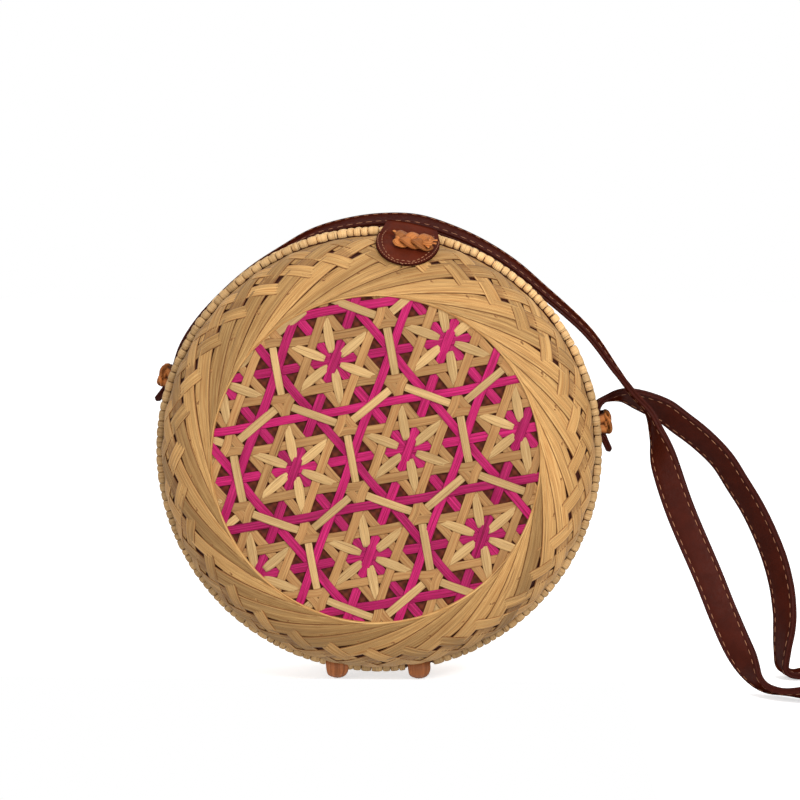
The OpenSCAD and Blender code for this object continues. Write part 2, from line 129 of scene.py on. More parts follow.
class BagColours(bpy.types.PropertyGroup):
    """Colours of the bag's materials"""
    cane: colour_prop("Cane", "Split cane of the shoulders", srgb(202, 162, 104))
    cane_deep: colour_prop("Cane shade", "Darker fibres of the cane", srgb(154, 106, 58))
    plain: colour_prop("Natural strip", "Natural strips of the star weave", srgb(184, 144, 92))
    plain_deep: colour_prop("Natural strip shade", "Darker fibres of the natural strips", srgb(148, 98, 56))
    dyed: colour_prop("Dyed strip", "Magenta strips of the star weave", srgb(196, 34, 106))
    dyed_deep: colour_prop("Dyed strip shade", "Darker fibres of the magenta strips", srgb(112, 4, 46))
    # the ground is a real woven layer, paler than this; its dark colour is painted shade for the holes between the
    # strips
    ground: colour_prop("Ground", "Plain weave behind the stars", srgb(96, 38, 20))
    wrap: colour_prop("Wrap", "Cane round the rims", srgb(230, 192, 138))
    knot: colour_prop("Knot", "Braided cane knots", srgb(198, 126, 68))
    leather: colour_prop("Leather", "Faces of the leather", srgb(64, 21, 11))
    border: colour_prop("Leather border", "Borders outside the stitches", srgb(54, 17, 10))
    thread: colour_prop("Thread", "Stitches", srgb(172, 118, 86))
    cotton: colour_prop("Lining", "Cotton of the lining", srgb(214, 200, 172))


def add(tree, kind, inputs=None, **settings):
    """A node with its settings, and values or links for its inputs."""
    node = tree.nodes.new(kind)
    for key, value in settings.items():
        setattr(node, key, value)
    for key, value in (inputs or {}).items():
        socket = node.inputs[key]
        if isinstance(value, bpy.types.NodeSocket):
            tree.links.new(value, socket)
        else:
            socket.default_value = value
    return node


def calc(tree, operation, first, second=0.0):
    """A math node's result."""
    return add(tree, "ShaderNodeMath", {0: first, 1: second}, operation=operation).outputs[0]


def blend_colour(tree, factor, first, second, kind="MIX"):
    """Two colours mixed, or multiplied, by a factor."""
    node = add(tree, "ShaderNodeMix", {0: factor, 6: first, 7: second}, data_type="RGBA", blend_type=kind)
    return node.outputs[2]


def spread(tree, value, low, high, out_low=0.0, out_high=1.0):
    """A value eased from one range into another."""
    node = add(tree, "ShaderNodeMapRange", {
        "Value": value, "From Min": low, "From Max": high, "To Min": out_low, "To Max": out_high,
    }, interpolation_type="SMOOTHSTEP")
    return node.outputs[0]


def rgba(colour, scale=1.0):
    """A node's colour from three parts, made darker or paler by scale."""
    return tuple(min(1.0, scale * part) for part in colour) + (1.0,)


def new_group(name, inputs, outputs):
    """A shader node group with its sockets: the tree, its given values and its sink."""
    tree = bpy.data.node_groups.new(name, "ShaderNodeTree")
    for label, kind, value in inputs:
        socket = tree.interface.new_socket(label, in_out="INPUT", socket_type=kind)
        socket.default_value = value
    for label, kind in outputs:
        tree.interface.new_socket(label, in_out="OUTPUT", socket_type=kind)
    source = tree.nodes.new("NodeGroupInput")
    sink = tree.nodes.new("NodeGroupOutput")
    return tree, source.outputs, sink


def fibre_group():
    """Long fibres of split cane: UV runs along and across the strip in metres."""
    tree, given, sink = new_group(
        "Cane fibre",
        [("Fineness", "NodeSocketFloat", 1.0), ("Tone", "NodeSocketFloat", 0.5)],
        [("Fibre", "NodeSocketFloat"), ("Lines", "NodeSocketFloat"), ("Patches", "NodeSocketFloat"),
         ("Height", "NodeSocketFloat")])
    place = add(tree, "ShaderNodeSeparateXYZ", {0: add(tree, "ShaderNodeUVMap").outputs[0]})
    along, across = place.outputs[0], place.outputs[1]
    shift = calc(tree, "MULTIPLY", given["Tone"], 37.0)

    def noise(run, cross, detail, extra):
        vector = add(tree, "ShaderNodeCombineXYZ", {
            0: calc(tree, "MULTIPLY", along, run),
            1: calc(tree, "MULTIPLY", calc(tree, "MULTIPLY", across, cross), given["Fineness"]),
            2: calc(tree, "ADD", shift, extra)})
        node = add(tree, "ShaderNodeTexNoise", {"Vector": vector.outputs[0], "Scale": 1.0, "Detail": detail})
        return node.outputs[0]

    fine = noise(70.0, 4200.0, 3.0, 0.0)
    broad = noise(28.0, 900.0, 2.0, 5.0)
    patch = noise(90.0, 160.0, 3.0, 11.0)
    fibre = calc(tree, "ADD", calc(tree, "MULTIPLY", fine, 0.55), calc(tree, "MULTIPLY", broad, 0.45))
    lines = spread(tree, broad, 0.60, 0.72)
    height = calc(tree, "SUBTRACT", fibre, calc(tree, "MULTIPLY", lines, 0.5))
    for label, value in (("Fibre", fibre), ("Lines", lines), ("Patches", patch), ("Height", height)):
        tree.links.new(value, sink.inputs[label])
    return tree


def grain_group():
    """Pebbled leather grain with soft wear, on the object's own coordinates."""
    tree, given, sink = new_group(
        "Leather grain",
        [("Pebbles per metre", "NodeSocketFloat", 1800.0)],
        [("Height", "NodeSocketFloat"), ("Wear", "NodeSocketFloat"), ("Creases", "NodeSocketFloat")])
    place = add(tree, "ShaderNodeTexCoord").outputs["Object"]
    cells = add(tree, "ShaderNodeTexVoronoi", {"Vector": place, "Scale": given["Pebbles per metre"]},
                feature="SMOOTH_F1")
    soft = add(tree, "ShaderNodeTexNoise", {"Vector": place, "Scale": 160.0, "Detail": 4.0})
    crease = add(tree, "ShaderNodeTexNoise", {"Vector": place, "Scale": 700.0, "Detail": 5.0, "Distortion": 0.6})
    height = calc(tree, "ADD", calc(tree, "MULTIPLY", cells.outputs["Distance"], -0.6),
                  calc(tree, "MULTIPLY", crease.outputs[0], 0.8))
    tree.links.new(height, sink.inputs["Height"])
    tree.links.new(spread(tree, soft.outputs[0], 0.35, 0.7), sink.inputs["Wear"])
    tree.links.new(crease.outputs[0], sink.inputs["Creases"])
    return tree


def cloth_group():
    """Plain woven threads on the object's own coordinates."""
    tree, given, sink = new_group(
        "Plain weave",
        [("Threads per metre", "NodeSocketFloat", 1500.0)],
        [("Height", "NodeSocketFloat"), ("Shade", "NodeSocketFloat")])
    place = add(tree, "ShaderNodeSeparateXYZ", {0: add(tree, "ShaderNodeTexCoord").outputs["Object"]})
    turns = calc(tree, "MULTIPLY", given["Threads per metre"], math.pi)
    first = calc(tree, "SINE", calc(tree, "MULTIPLY", place.outputs[0], turns))
    second = calc(tree, "SINE", calc(tree, "MULTIPLY", place.outputs[2], turns))
    height = calc(tree, "MULTIPLY", first, second)
    tree.links.new(height, sink.inputs["Height"])
    tree.links.new(spread(tree, height, -1.0, 1.0), sink.inputs["Shade"])
    return tree


GROUP_MAKERS = {"fibre": fibre_group, "grain": grain_group, "cloth": cloth_group}
GROUPS = {}


def shared_group(tree, name, values=None):
    """One of the shared groups, made on first use and placed in a material's tree."""
    if name not in GROUPS:
        GROUPS[name] = GROUP_MAKERS[name]()
    return add(tree, "ShaderNodeGroup", values, node_tree=GROUPS[name])


def new_material(name, roughness, specular=0.5):
    """A material with its tree and its shader."""
    material = bpy.data.materials.new(name)
    material.use_nodes = True
    tree = material.node_tree
    shader = tree.nodes["Principled BSDF"]
    shader.inputs["Roughness"].default_value = roughness
    shader.inputs["Specular IOR Level"].default_value = specular
    return material, tree, shader


def bump(tree, shader, height, distance, strength=1.0):
    """Relief from a height, without form of its own."""
    node = add(tree, "ShaderNodeBump", {"Height": height, "Distance": distance, "Strength": strength})
    tree.links.new(node.outputs[0], shader.inputs["Normal"])


def cane_material(name, pale, deep, dark, fineness=1.0, roughness=0.5, contrast=1.0, mottle=0.35, crease=0.75):
    """Split cane: fibres, darker lines, slow changes of tone, and painted shade at its edges, in its grooves and
    where it goes under.
    """
    material, tree, shader = new_material(name, roughness, 0.12)
    tone = add(tree, "ShaderNodeAttribute", attribute_name="tone").outputs["Fac"]
    group = shared_group(tree, "fibre", {"Fineness": fineness, "Tone": tone})
    fibre = spread(tree, group.outputs["Fibre"], 0.5 - 0.2 / contrast, 0.5 + 0.2 / contrast)
    body = blend_colour(tree, fibre, rgba(deep), rgba(pale))
    patches = calc(tree, "MULTIPLY", group.outputs["Patches"], mottle)
    level = spread(tree, calc(tree, "ADD", calc(tree, "MULTIPLY", tone, 0.7), patches), 0.1, 1.0, 0.58, 1.28)
    grey = add(tree, "ShaderNodeCombineColor", {0: level, 1: level, 2: level}).outputs[0]
    body = blend_colour(tree, 1.0, body, grey, "MULTIPLY")
    body = blend_colour(tree, calc(tree, "MULTIPLY", group.outputs["Lines"], 0.8), body, rgba(dark))
    # painted shade: the shade mark darkens edges, grooves and cane that goes under other cane, as strongly as crease
    # says
    shade = add(tree, "ShaderNodeAttribute", attribute_name="shade").outputs["Fac"]
    body = blend_colour(tree, calc(tree, "MULTIPLY", spread(tree, shade, 0.4, 1.0), crease), body, rgba(dark))
    tree.links.new(body, shader.inputs["Base Color"])
    tree.links.new(spread(tree, group.outputs["Fibre"], 0.3, 0.7, roughness + 0.12, roughness - 0.08),
                   shader.inputs["Roughness"])
    bump(tree, shader, group.outputs["Height"], 0.00022, 0.7)
    return material


def leather_material(name, face, border, roughness, border_at):
    """Leather with pebbled grain; the border outside the stitches is redder."""
    material, tree, shader = new_material(name, roughness, 0.0)
    group = shared_group(tree, "grain")
    body = blend_colour(tree, group.outputs["Wear"], rgba(face, 0.78), rgba(face))
    edge = add(tree, "ShaderNodeAttribute", attribute_name="edge").outputs["Fac"]
    creased = spread(tree, group.outputs["Creases"], 0.5, 0.75)
    worn = blend_colour(tree, creased, rgba(border), rgba(border, 1.5))
    body = blend_colour(tree, spread(tree, edge, border_at - 0.12, border_at + 0.12), body, worn)
    tree.links.new(body, shader.inputs["Base Color"])
    tree.links.new(spread(tree, group.outputs["Creases"], 0.3, 0.7, roughness - 0.08, roughness + 0.14),
                   shader.inputs["Roughness"])
    # satin where it faces the eye, dull where it is seen along its face
    facing = add(tree, "ShaderNodeLayerWeight", {"Blend": 0.5}).outputs["Facing"]
    tree.links.new(spread(tree, facing, 0.3, 0.75, 0.06, 0.0), shader.inputs["Specular IOR Level"])
    bump(tree, shader, group.outputs["Height"], 0.00016, 0.6)
    return material


def cloth_material(name, colour, threads, depth, roughness, low=0.72):
    """Plain cloth: threads with painted shade where they dip, and soft patches."""
    material, tree, shader = new_material(name, roughness, 0.2)
    group = shared_group(tree, "cloth", {"Threads per metre": threads})
    place = add(tree, "ShaderNodeTexCoord").outputs["Object"]
    patch = add(tree, "ShaderNodeTexNoise", {"Vector": place, "Scale": 90.0, "Detail": 3.0}).outputs[0]
    body = blend_colour(tree, group.outputs["Shade"], rgba(colour, low), rgba(colour))
    body = blend_colour(tree, calc(tree, "MULTIPLY", patch, 0.35), body, rgba(colour, 0.7))
    tree.links.new(body, shader.inputs["Base Color"])
    bump(tree, shader, group.outputs["Height"], depth)
    return material


def steel_material(name):
    """Brushed steel with fine scratches."""
    material, tree, shader = new_material(name, 0.35)
    shader.inputs["Metallic"].default_value = 1.0
    place = add(tree, "ShaderNodeTexCoord").outputs["Object"]
    scratch = add(tree, "ShaderNodeTexNoise", {"Vector": place, "Scale": 900.0, "Detail": 5.0}).outputs[0]
    tree.links.new(blend_colour(tree, scratch, rgba((0.5, 0.5, 0.5)), rgba((0.68, 0.67, 0.65))),
                   shader.inputs["Base Color"])
    bump(tree, shader, scratch, 0.00005)
    return material


MATERIALS = {}


def bag_material(key):
    """The named finish, made on first use."""
    if key in MATERIALS:
        return MATERIALS[key]
    tint = bpy.context.scene.bag_colours
    # each finish: what makes it, its name, its colours and its settings
    finishes = {
        # crease sets how strong the painted shade is at a cane's edges, in its grooves and where it dips
        "shoulder": (cane_material, "Shoulder cane", (tint.cane, tint.cane_deep, srgb(92, 44, 20)),
                     {"contrast": 1.25}),
        # the backing's near-black colours are painted shade for the holes in the shoulder weave
        "backing": (cane_material, "Cane backing", (srgb(74, 32, 18), srgb(40, 14, 8), srgb(24, 8, 5)), {}),
        "plain": (cane_material, "Natural strip cane", (tint.plain, tint.plain_deep, srgb(96, 52, 24)),
                  {"fineness": 1.4}),
        "top": (cane_material, "Top strip cane", (srgb(212, 177, 122), srgb(168, 128, 80), srgb(110, 62, 32)),
                {"fineness": 1.4, "crease": 0.5}),
        "loop": (cane_material, "Hinge loop cane", (srgb(178, 112, 68), srgb(134, 74, 42), srgb(70, 32, 18)),
                 {"fineness": 1.4, "roughness": 0.35, "contrast": 0.7}),
        "dyed": (cane_material, "Dyed strip cane", (tint.dyed, tint.dyed_deep, srgb(120, 10, 60)),
                 {"fineness": 1.4, "roughness": 0.45, "contrast": 1.3, "mottle": 0.4}),
        "wrap": (cane_material, "Rim wrap cane", (tint.wrap, srgb(184, 140, 88), srgb(104, 62, 30)),
                 {"fineness": 1.6}),
        "knot": (cane_material, "Knot cane", (tint.knot, srgb(156, 86, 38), srgb(64, 26, 10)),
                 {"fineness": 1.6, "crease": 0.95}),
        "hoop": (cane_material, "Hoop cane", (srgb(98, 58, 32), srgb(66, 36, 20), srgb(40, 20, 10)), {}),
        # low gives the ground's threads strong painted shade where they dip
        "ground": (cloth_material, "Ground weave", (tint.ground,),
                   {"threads": 420.0, "depth": 0.0003, "roughness": 0.8, "low": 0.35}),
        "thread": (cloth_material, "Stitch thread", (tint.thread,),
                   {"threads": 3000.0, "depth": 0.00008, "roughness": 0.7}),
        "cotton": (cloth_material, "Lining cotton", (tint.cotton,),
                   {"threads": 1100.0, "depth": 0.00012, "roughness": 0.85, "low": 0.9}),
        "strap": (leather_material, "Strap leather", (tint.leather, tint.border),
                  {"roughness": 0.4, "border_at": 0.74}),
        "tab": (leather_material, "Tab leather", (srgb(87, 32, 16), srgb(68, 23, 13)),
                {"roughness": 0.5, "border_at": 0.8}),
        "inside": (leather_material, "Leather underside", (srgb(72, 30, 18), tint.border),
                   {"roughness": 0.5, "border_at": 0.62}),
        "steel": (steel_material, "Closure steel", (), {}),
    }
    maker, name, colours, settings = finishes[key]
    MATERIALS[key] = maker(name, *colours, **settings)
    return MATERIALS[key]


def finish_piece(piece, body, slot, *nodes):
    """Hooks a finished piece onto its body and hides the imported nodes that it stands for; slot is not used."""
    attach(piece, body)
    if nodes:
        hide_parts(*nodes)


def link_piece(name, mesh):
    """An object of the scene from a mesh."""
    piece = bpy.data.objects.new(name, mesh)
    bpy.context.scene.collection.objects.link(piece)
    return piece


def mesh_piece(name, points, faces, material, uvs=None, marks=None):
    """Mesh from points in mm and rings of corners; uvs are in metres for each corner, marks values for each point."""
    mesh = bpy.data.meshes.new(name)
    mesh.from_pydata((np.asarray(points) * MM).tolist(), [], [[int(corner) for corner in face] for face in faces])
    if uvs is not None:
        layer = mesh.uv_layers.new(name="UVMap")
        layer.data.foreach_set("uv", np.asarray(uvs, dtype=np.float32).ravel())
    for label, values in (marks or {}).items():
        attribute = mesh.attributes.new(label, "FLOAT", "POINT")
        attribute.data.foreach_set("value", np.asarray(values, dtype=np.float32))
    shell = bmesh.new()
    shell.from_mesh(mesh)
    bmesh.ops.recalc_face_normals(shell, faces=shell.faces)
    shell.to_mesh(mesh)
    shell.free()
    mesh.polygons.foreach_set("use_smooth", [True] * len(mesh.polygons))
    mesh.materials.append(material)
    return link_piece(name, mesh)


def tube(count, around, u, v, closed=False):
    """Faces and UV of a skin over rings of corners, with its ends capped unless it closes on itself."""
    last = count if closed else count - 1
    start = np.arange(last)[:, None] * around
    ahead = (start + around) % (count * around)
    here = np.arange(around)
    following = (here + 1) % around
    faces = np.stack([start + here, start + following, ahead + following, ahead + here], -1).reshape(-1, 4).tolist()
    v = np.broadcast_to(v, (last + 1, around))
    ring_u = np.stack([u[:-1], u[:-1], u[1:], u[1:]], -1)[:, None].repeat(around, 1)
    ring_v = np.stack([v[:-1, here], v[:-1, following], v[1:, following], v[1:, here]], -1)
    uvs = [np.stack([ring_u, ring_v], -1).reshape(-1, 2)]
    if not closed:
        for end in (0, last):
            faces.append((end * around + here).tolist())
            uvs.append(np.stack([np.full(around, u[end]), v[end]], -1))
    return faces, np.concatenate(uvs)


def unit(rows):
    """Rows scaled to a length of 1."""
    rows = np.asarray(rows, dtype=float)
    return rows / np.maximum(np.linalg.norm(rows, axis=-1, keepdims=True), 1e-9)


def lengths(line):
    """Length along a line of places, from its first one."""
    return np.concatenate([[0], np.cumsum(np.linalg.norm(np.diff(line, axis=0), axis=1))])


def ease(share):
    """A share of 0 to 1 that starts and stops softly."""
    return share * share * (3 - 2 * share)


def crown(strands, groove, line=0.6):
    """Section of a strip: places across (-1 to 1), heights (in thicknesses) and painted shade, round the strip; line
    is the painted shade in its grooves.
    """
    top = [(-1 + j / strands, 0.5 if j % 2 else 0.5 - groove, 0.0 if j % 2 else line)
           for j in range(2 * strands + 1)]
    top[0] = (-1.0, 0.5 - groove, 1.0)
    top[-1] = (1.0, 0.5 - groove, 1.0)
    return np.array(top + [(1.0, -0.5, 1.0), (-1.0, -0.5, 1.0)])


def strip_section(grooves):
    """Section of a flat strip: narrow rounded edges and fine grooves between them, with painted shade on the edges
    and in the grooves.
    """
    top = [(-1.0, 0.1, 1.0), (-0.86, 0.44, 0.35)]
    for place in np.linspace(-1, 1, grooves + 2)[1:-1]:
        top += [(place - 0.16, 0.5, 0.0), (place, 0.4, 0.4), (place + 0.16, 0.5, 0.0)]
    return np.array(top + [(0.86, 0.44, 0.35), (1.0, 0.1, 1.0), (1.0, -0.5, 1.0), (-1.0, -0.5, 1.0)])


class Strips:
    """Collects flat strips into one mesh, with UV in metres along and across each strip."""

    def __init__(self, seed):
        self.random = np.random.default_rng(seed)
        self.points, self.faces, self.uvs, self.tones, self.shades = [], [], [], [], []
        self.total = 0

    def add(self, left, right, out, thick, section, tone=None, tone_spread=0.0, dip=0.0, lit=0.0):
        """One strip between two edges; dip adds painted shade all round it, and lit takes away its section's own
        painted shade.
        """
        left, right = np.asarray(left, float), np.asarray(right, float)
        count, around = len(left), len(section)
        middle = (left + right) / 2
        side = (right - left) / 2
        run = unit(np.gradient(middle, axis=0))
        lift = unit(np.cross(unit(side), run))
        lift *= np.sign(np.sum(lift * out, axis=1, keepdims=True))
        rings = (middle[:, None] + side[:, None] * section[None, :, :1]
                 + lift[:, None] * section[None, :, 1:2] * np.reshape(thick, (-1, 1, 1)))
        u = (lengths(middle) + self.random.uniform(0, 5000)) * MM
        v = (np.linalg.norm(side, axis=1)[:, None] * section[None, :, 0] + self.random.uniform(0, 500)) * MM
        tone = self.random.uniform(0.15, 0.95) if tone is None else tone
        tones = tone + tone_spread * self.random.uniform(-1, 1, around)[None, :].repeat(count, 0)
        faces, uvs = tube(count, around, u, v)
        shades = np.maximum(section[None, :, 2] * (1 - np.reshape(lit, (-1, 1))),
                            np.broadcast_to(np.reshape(dip, (-1, 1)), (count, around)))
        self.points.append(rings.reshape(-1, 3))
        self.faces += [[self.total + corner for corner in face] for face in faces]
        self.uvs.append(uvs)
        self.tones.append(np.clip(tones, 0, 1).ravel())
        self.shades.append(shades.ravel())
        self.total += count * around

    def piece(self, name, material):
        marks = {"tone": np.concatenate(self.tones), "shade": np.concatenate(self.shades)}
        return mesh_piece(name, np.concatenate(self.points), self.faces, material, np.concatenate(self.uvs), marks)


def dish_out(half, ways):
    """Ways in a dish's own frame (right, up, out of the dish), turned to the bag's."""
    ways = np.asarray(ways, float)
    turn = 1.0 if half == "front" else -1.0
    return np.stack([turn * ways[..., 0], -turn * ways[..., 2], ways[..., 1]], -1)


def in_dish(half, places):
    """Places in a dish's own frame, moved to the bag's, in mm."""
    return dish_out(half, places) + np.array([0.0, 0.0, CENTRE_Z])


def spun(r, d, angle):
    """Places at a radius and a depth, turned about the dish's axis, in its own frame; 0 is at the top."""
    return np.stack([r * np.sin(angle), r * np.cos(angle), d + 0 * angle], -1)


def on_ellipse(angle, out=0.0):
    """Radius and depth on the shoulder's section, or on one that lies further out."""
    return SHOULDER_R + (SHOULDER_WIDE + out) * np.cos(angle), SHOULDER_D + (SHOULDER_DEEP + out) * np.sin(angle)


# Along the shoulder's section from the rim inwards: angle on the ellipse, radius, length of arc, the lean of a
# straight band that touches the opening's edge, and how far round the bag such a band has swept from there
SECTION_ANGLE = np.linspace(0.0, math.acos((OPENING_R - SHOULDER_R) / SHOULDER_WIDE), 600)
SECTION_R, SECTION_D = on_ellipse(SECTION_ANGLE)
ARC = np.concatenate([[0], np.cumsum(np.hypot(np.diff(SECTION_R), np.diff(SECTION_D)))])
ARC_END = ARC[-1]
LEAN = np.arccos(np.minimum(0.9985, (OPENING_R - 0.4) / SECTION_R))
SWEEP_RATE = 1.0 / (SECTION_R * np.tan(LEAN))
SWEEP_STEPS = np.diff(ARC) * (SWEEP_RATE[1:] + SWEEP_RATE[:-1]) / 2
SWEEP = np.concatenate([np.cumsum(SWEEP_STEPS[::-1])[::-1], [0]])

# Where the first crossing band lies over a main one
CROSS_ANGLE = math.radians(325.7)
CROSS_ARC = 26.7
# Lengths of arc from the rim: where the bands start, where the layer under them and the crossing bands end, and from
# where on each main band is tucked under the next one
RIM_ARC, UNDER_END, CROSS_END, TUCK_START = 1.4, 23.0, 35.0, 31.0
UNDER_WIDTH = 5.6
# Width of a main band's end, in mm, and the number of its steps along the opening
BAND_END_WIDTH, BAND_END_STEPS = 2.2, 12


def sweep(arc):
    """How far round the bag a straight band goes from a length of arc to the opening."""
    return np.interp(arc, ARC, SWEEP)


def lean(arc):
    """How far a straight band leans from the section's way."""
    return np.interp(arc, ARC, LEAN)


def shoulder_radius(arc):
    """The shoulder's radius at a length of arc."""
    return np.interp(arc, ARC, SECTION_R)


def on_shoulder(angle, arc, height):
    """A place over the shoulder and the way out of it, in the dish's frame; arc runs from the rim inwards."""
    section = np.interp(arc, ARC, SECTION_ANGLE)
    way_r, way_d = np.cos(section) / SHOULDER_WIDE, np.sin(section) / SHOULDER_DEEP
    size = np.hypot(way_r, way_d)
    way_r, way_d = way_r / size, way_d / size
    r, d = on_ellipse(section)
    r, d = r + height * way_r, d + height * way_d
    return spun(r, d, angle), spun(way_r, way_d, angle)


def rim_sink(arc):
    """How far the weave dips towards the rim's wraps, in mm."""
    return 1.5 * ease(np.clip(1 - (arc - 1.0) / 17.0, 0, 1))


def shoulder_weave(half, body, seed):
    """Bands that leave the opening on a tangent, crossed near the rim by bands of the other hand."""
    sizes = bpy.context.scene.bag_sizes
    count = sizes.shoulder_bands
    width, cross = sizes.band_width / MM, sizes.cross_width / MM
    thick = sizes.cane_thickness / MM
    pitch = 2 * math.pi / count
    strips = Strips(seed)
    jitter = np.random.default_rng(seed + 40)

    def band(edge_angle, arc, wide, hand, high, low, section, tone=None, dip=0.0, slope=None, lit=0.0):
        """One band from its inner edge; hand is 1 for the main bands and -1 for the crossing ones."""
        slope = lean(arc) if slope is None else slope
        sink = rim_sink(arc)
        inner, way = on_shoulder(edge_angle, arc, high - sink)
        turn = hand * wide * np.sin(slope) / shoulder_radius(arc)
        outer, _ = on_shoulder(edge_angle - turn, np.maximum(arc - wide * np.cos(slope), 0.9), low - sink)
        strips.add(in_dish(half, inner), in_dish(half, outer), dish_out(half, way), thick, section, tone, 0.2,
                   dip, lit)

    def wave(arc):
        """Over and under: 0 where a band crosses over, half a turn where it goes under."""
        return np.clip((sweep(arc) - sweep(CROSS_ARC)) / pitch * 2 * math.pi, -math.pi, None)

    def main_band(edge):
        last_arc = ARC_END - 0.25
        arc = np.linspace(RIM_ARC, last_arc, 56)
        spacing = pitch * shoulder_radius(arc) * np.sin(lean(arc))
        wide = np.minimum(width * jitter.uniform(0.93, 1.05), spacing + 1.8)
        level = -0.45 - 0.2 * np.cos(wave(arc))
        low = level - 0.5 * ease(np.clip((arc - TUCK_START) / 7.0, 0, 1))
        # painted shade where the main band passes under a crossing band
        dip = np.clip(1.4 * np.cos(wave(arc)) - 0.6, 0, 0.68)
        angle = edge + sweep(arc)
        # its end turns along the opening, under the band before it
        past = np.linspace(0, 1, BAND_END_STEPS + 1)[1:]
        slope = np.concatenate([lean(arc), lean(last_arc) * (1 - past)])
        wide = np.concatenate([wide, wide[-1] + (BAND_END_WIDTH - wide[-1]) * past])
        low = np.concatenate([low, low[-1] - 0.5 * past])
        level = np.concatenate([level, level[-1] - 0.5 * past])
        dip = np.concatenate([dip, 0 * past])
        arc = np.concatenate([arc, np.full(BAND_END_STEPS, last_arc)])
        angle = np.concatenate([angle, angle[-1] - pitch * past])
        # no painted shade on the band's edges in its last few mm towards the opening
        lit = np.clip((arc - ARC_END + 2.5) / 2.0, 0, 1)
        band(angle, arc, wide, 1, level, low, crown(5, 0.3), None, dip, slope, lit)

    def under_band(edge):
        """The layer under the main bands, seen between two of them near the rim."""
        arc = np.linspace(RIM_ARC, UNDER_END, 26)
        band(edge + sweep(arc) + pitch * 0.5 - 0.012, arc, np.full(len(arc), UNDER_WIDTH), 1, -0.78, -0.78,
             crown(3, 0.3), None, 0.2)

    def crossing_band(start):
        arc = np.linspace(RIM_ARC, CROSS_END, 40)
        level = -0.43 + 0.27 * np.cos(wave(arc))
        wide = cross * jitter.uniform(0.9, 1.06)
        edge_arc = arc + wide / 2 * np.cos(lean(arc))
        edge = start + sweep(CROSS_ARC) - sweep(arc) - wide / 2 * np.sin(lean(arc)) / shoulder_radius(arc)
        # the crossing band gets painted shade where it passes under a main band
        band(edge + jitter.normal(0, 0.004), edge_arc, np.full(len(arc), wide), -1, level, level, crown(4, 0.3),
             jitter.uniform(0.3, 1.0), np.clip(-1.4 * np.cos(wave(arc)) - 0.45, 0, 0.7))

    def folded_edge():
        """The strip round the opening's edge."""
        angle = np.linspace(0, 2 * math.pi, 181)
        arc = np.full(len(angle), ARC_END - 0.1)
        front, back = (in_dish(half, on_shoulder(angle, arc, height)[0]) for height in (-0.3, -2.1))
        strips.add(front, back, dish_out(half, spun(-1.0, 0.0, angle)), 0.5, crown(1, 0.1, 0.2), 0.8, 0.0, 0.0, 0.9)

    half_arc = CROSS_ARC + width / 2 * math.cos(lean(CROSS_ARC))
    half_turn = width / 2 * math.sin(lean(CROSS_ARC)) / shoulder_radius(CROSS_ARC)
    for k in range(count):
        start = CROSS_ANGLE + k * pitch + jitter.normal(0, 0.006)
        edge = start + half_turn - sweep(half_arc)
        main_band(edge)
        under_band(edge)
        crossing_band(start)
    folded_edge()
    weave = strips.piece("shoulder_weave_" + half, bag_material("shoulder"))
    finish_piece(weave, body, "woven_cane", half + "_wall")


def shoulder_backing(half, body):
    """The inner layer seen through the weave's holes, near-black as painted shade for the holes, turned about the
    dish's axis.
    """
    steps = 160
    arc = np.linspace(0.95, ARC_END - 0.5, 26)
    outer, _ = on_shoulder(0.0, arc, -1.05 - 0.65 * rim_sink(arc))
    inner, _ = on_shoulder(0.0, arc, -2.15)
    # its edge reaches into the rim's wraps
    profile = np.concatenate([[(RIM_R - 0.9, RIM_D + 1.3)], outer[:, 1:], inner[::-1, 1:],
                              [(RIM_R - 1.5, RIM_D + 0.2)]])
    angles = np.linspace(0, 2 * math.pi, steps, endpoint=False)
    points = spun(profile[None, :, 0], profile[None, :, 1], angles[:, None])
    # UV runs round the bag as at a radius of 90 mm
    faces, uvs = tube(steps, len(profile), np.linspace(0, 2 * math.pi, steps + 1) * 90 * MM,
                      lengths(profile) * MM, closed=True)
    piece = mesh_piece("shoulder_backing_" + half, in_dish(half, points.reshape(-1, 3)), faces,
                       bag_material("backing"), uvs, {"tone": np.full(steps * len(profile), 0.4)})
    finish_piece(piece, body, "woven_cane", half + "_wall")


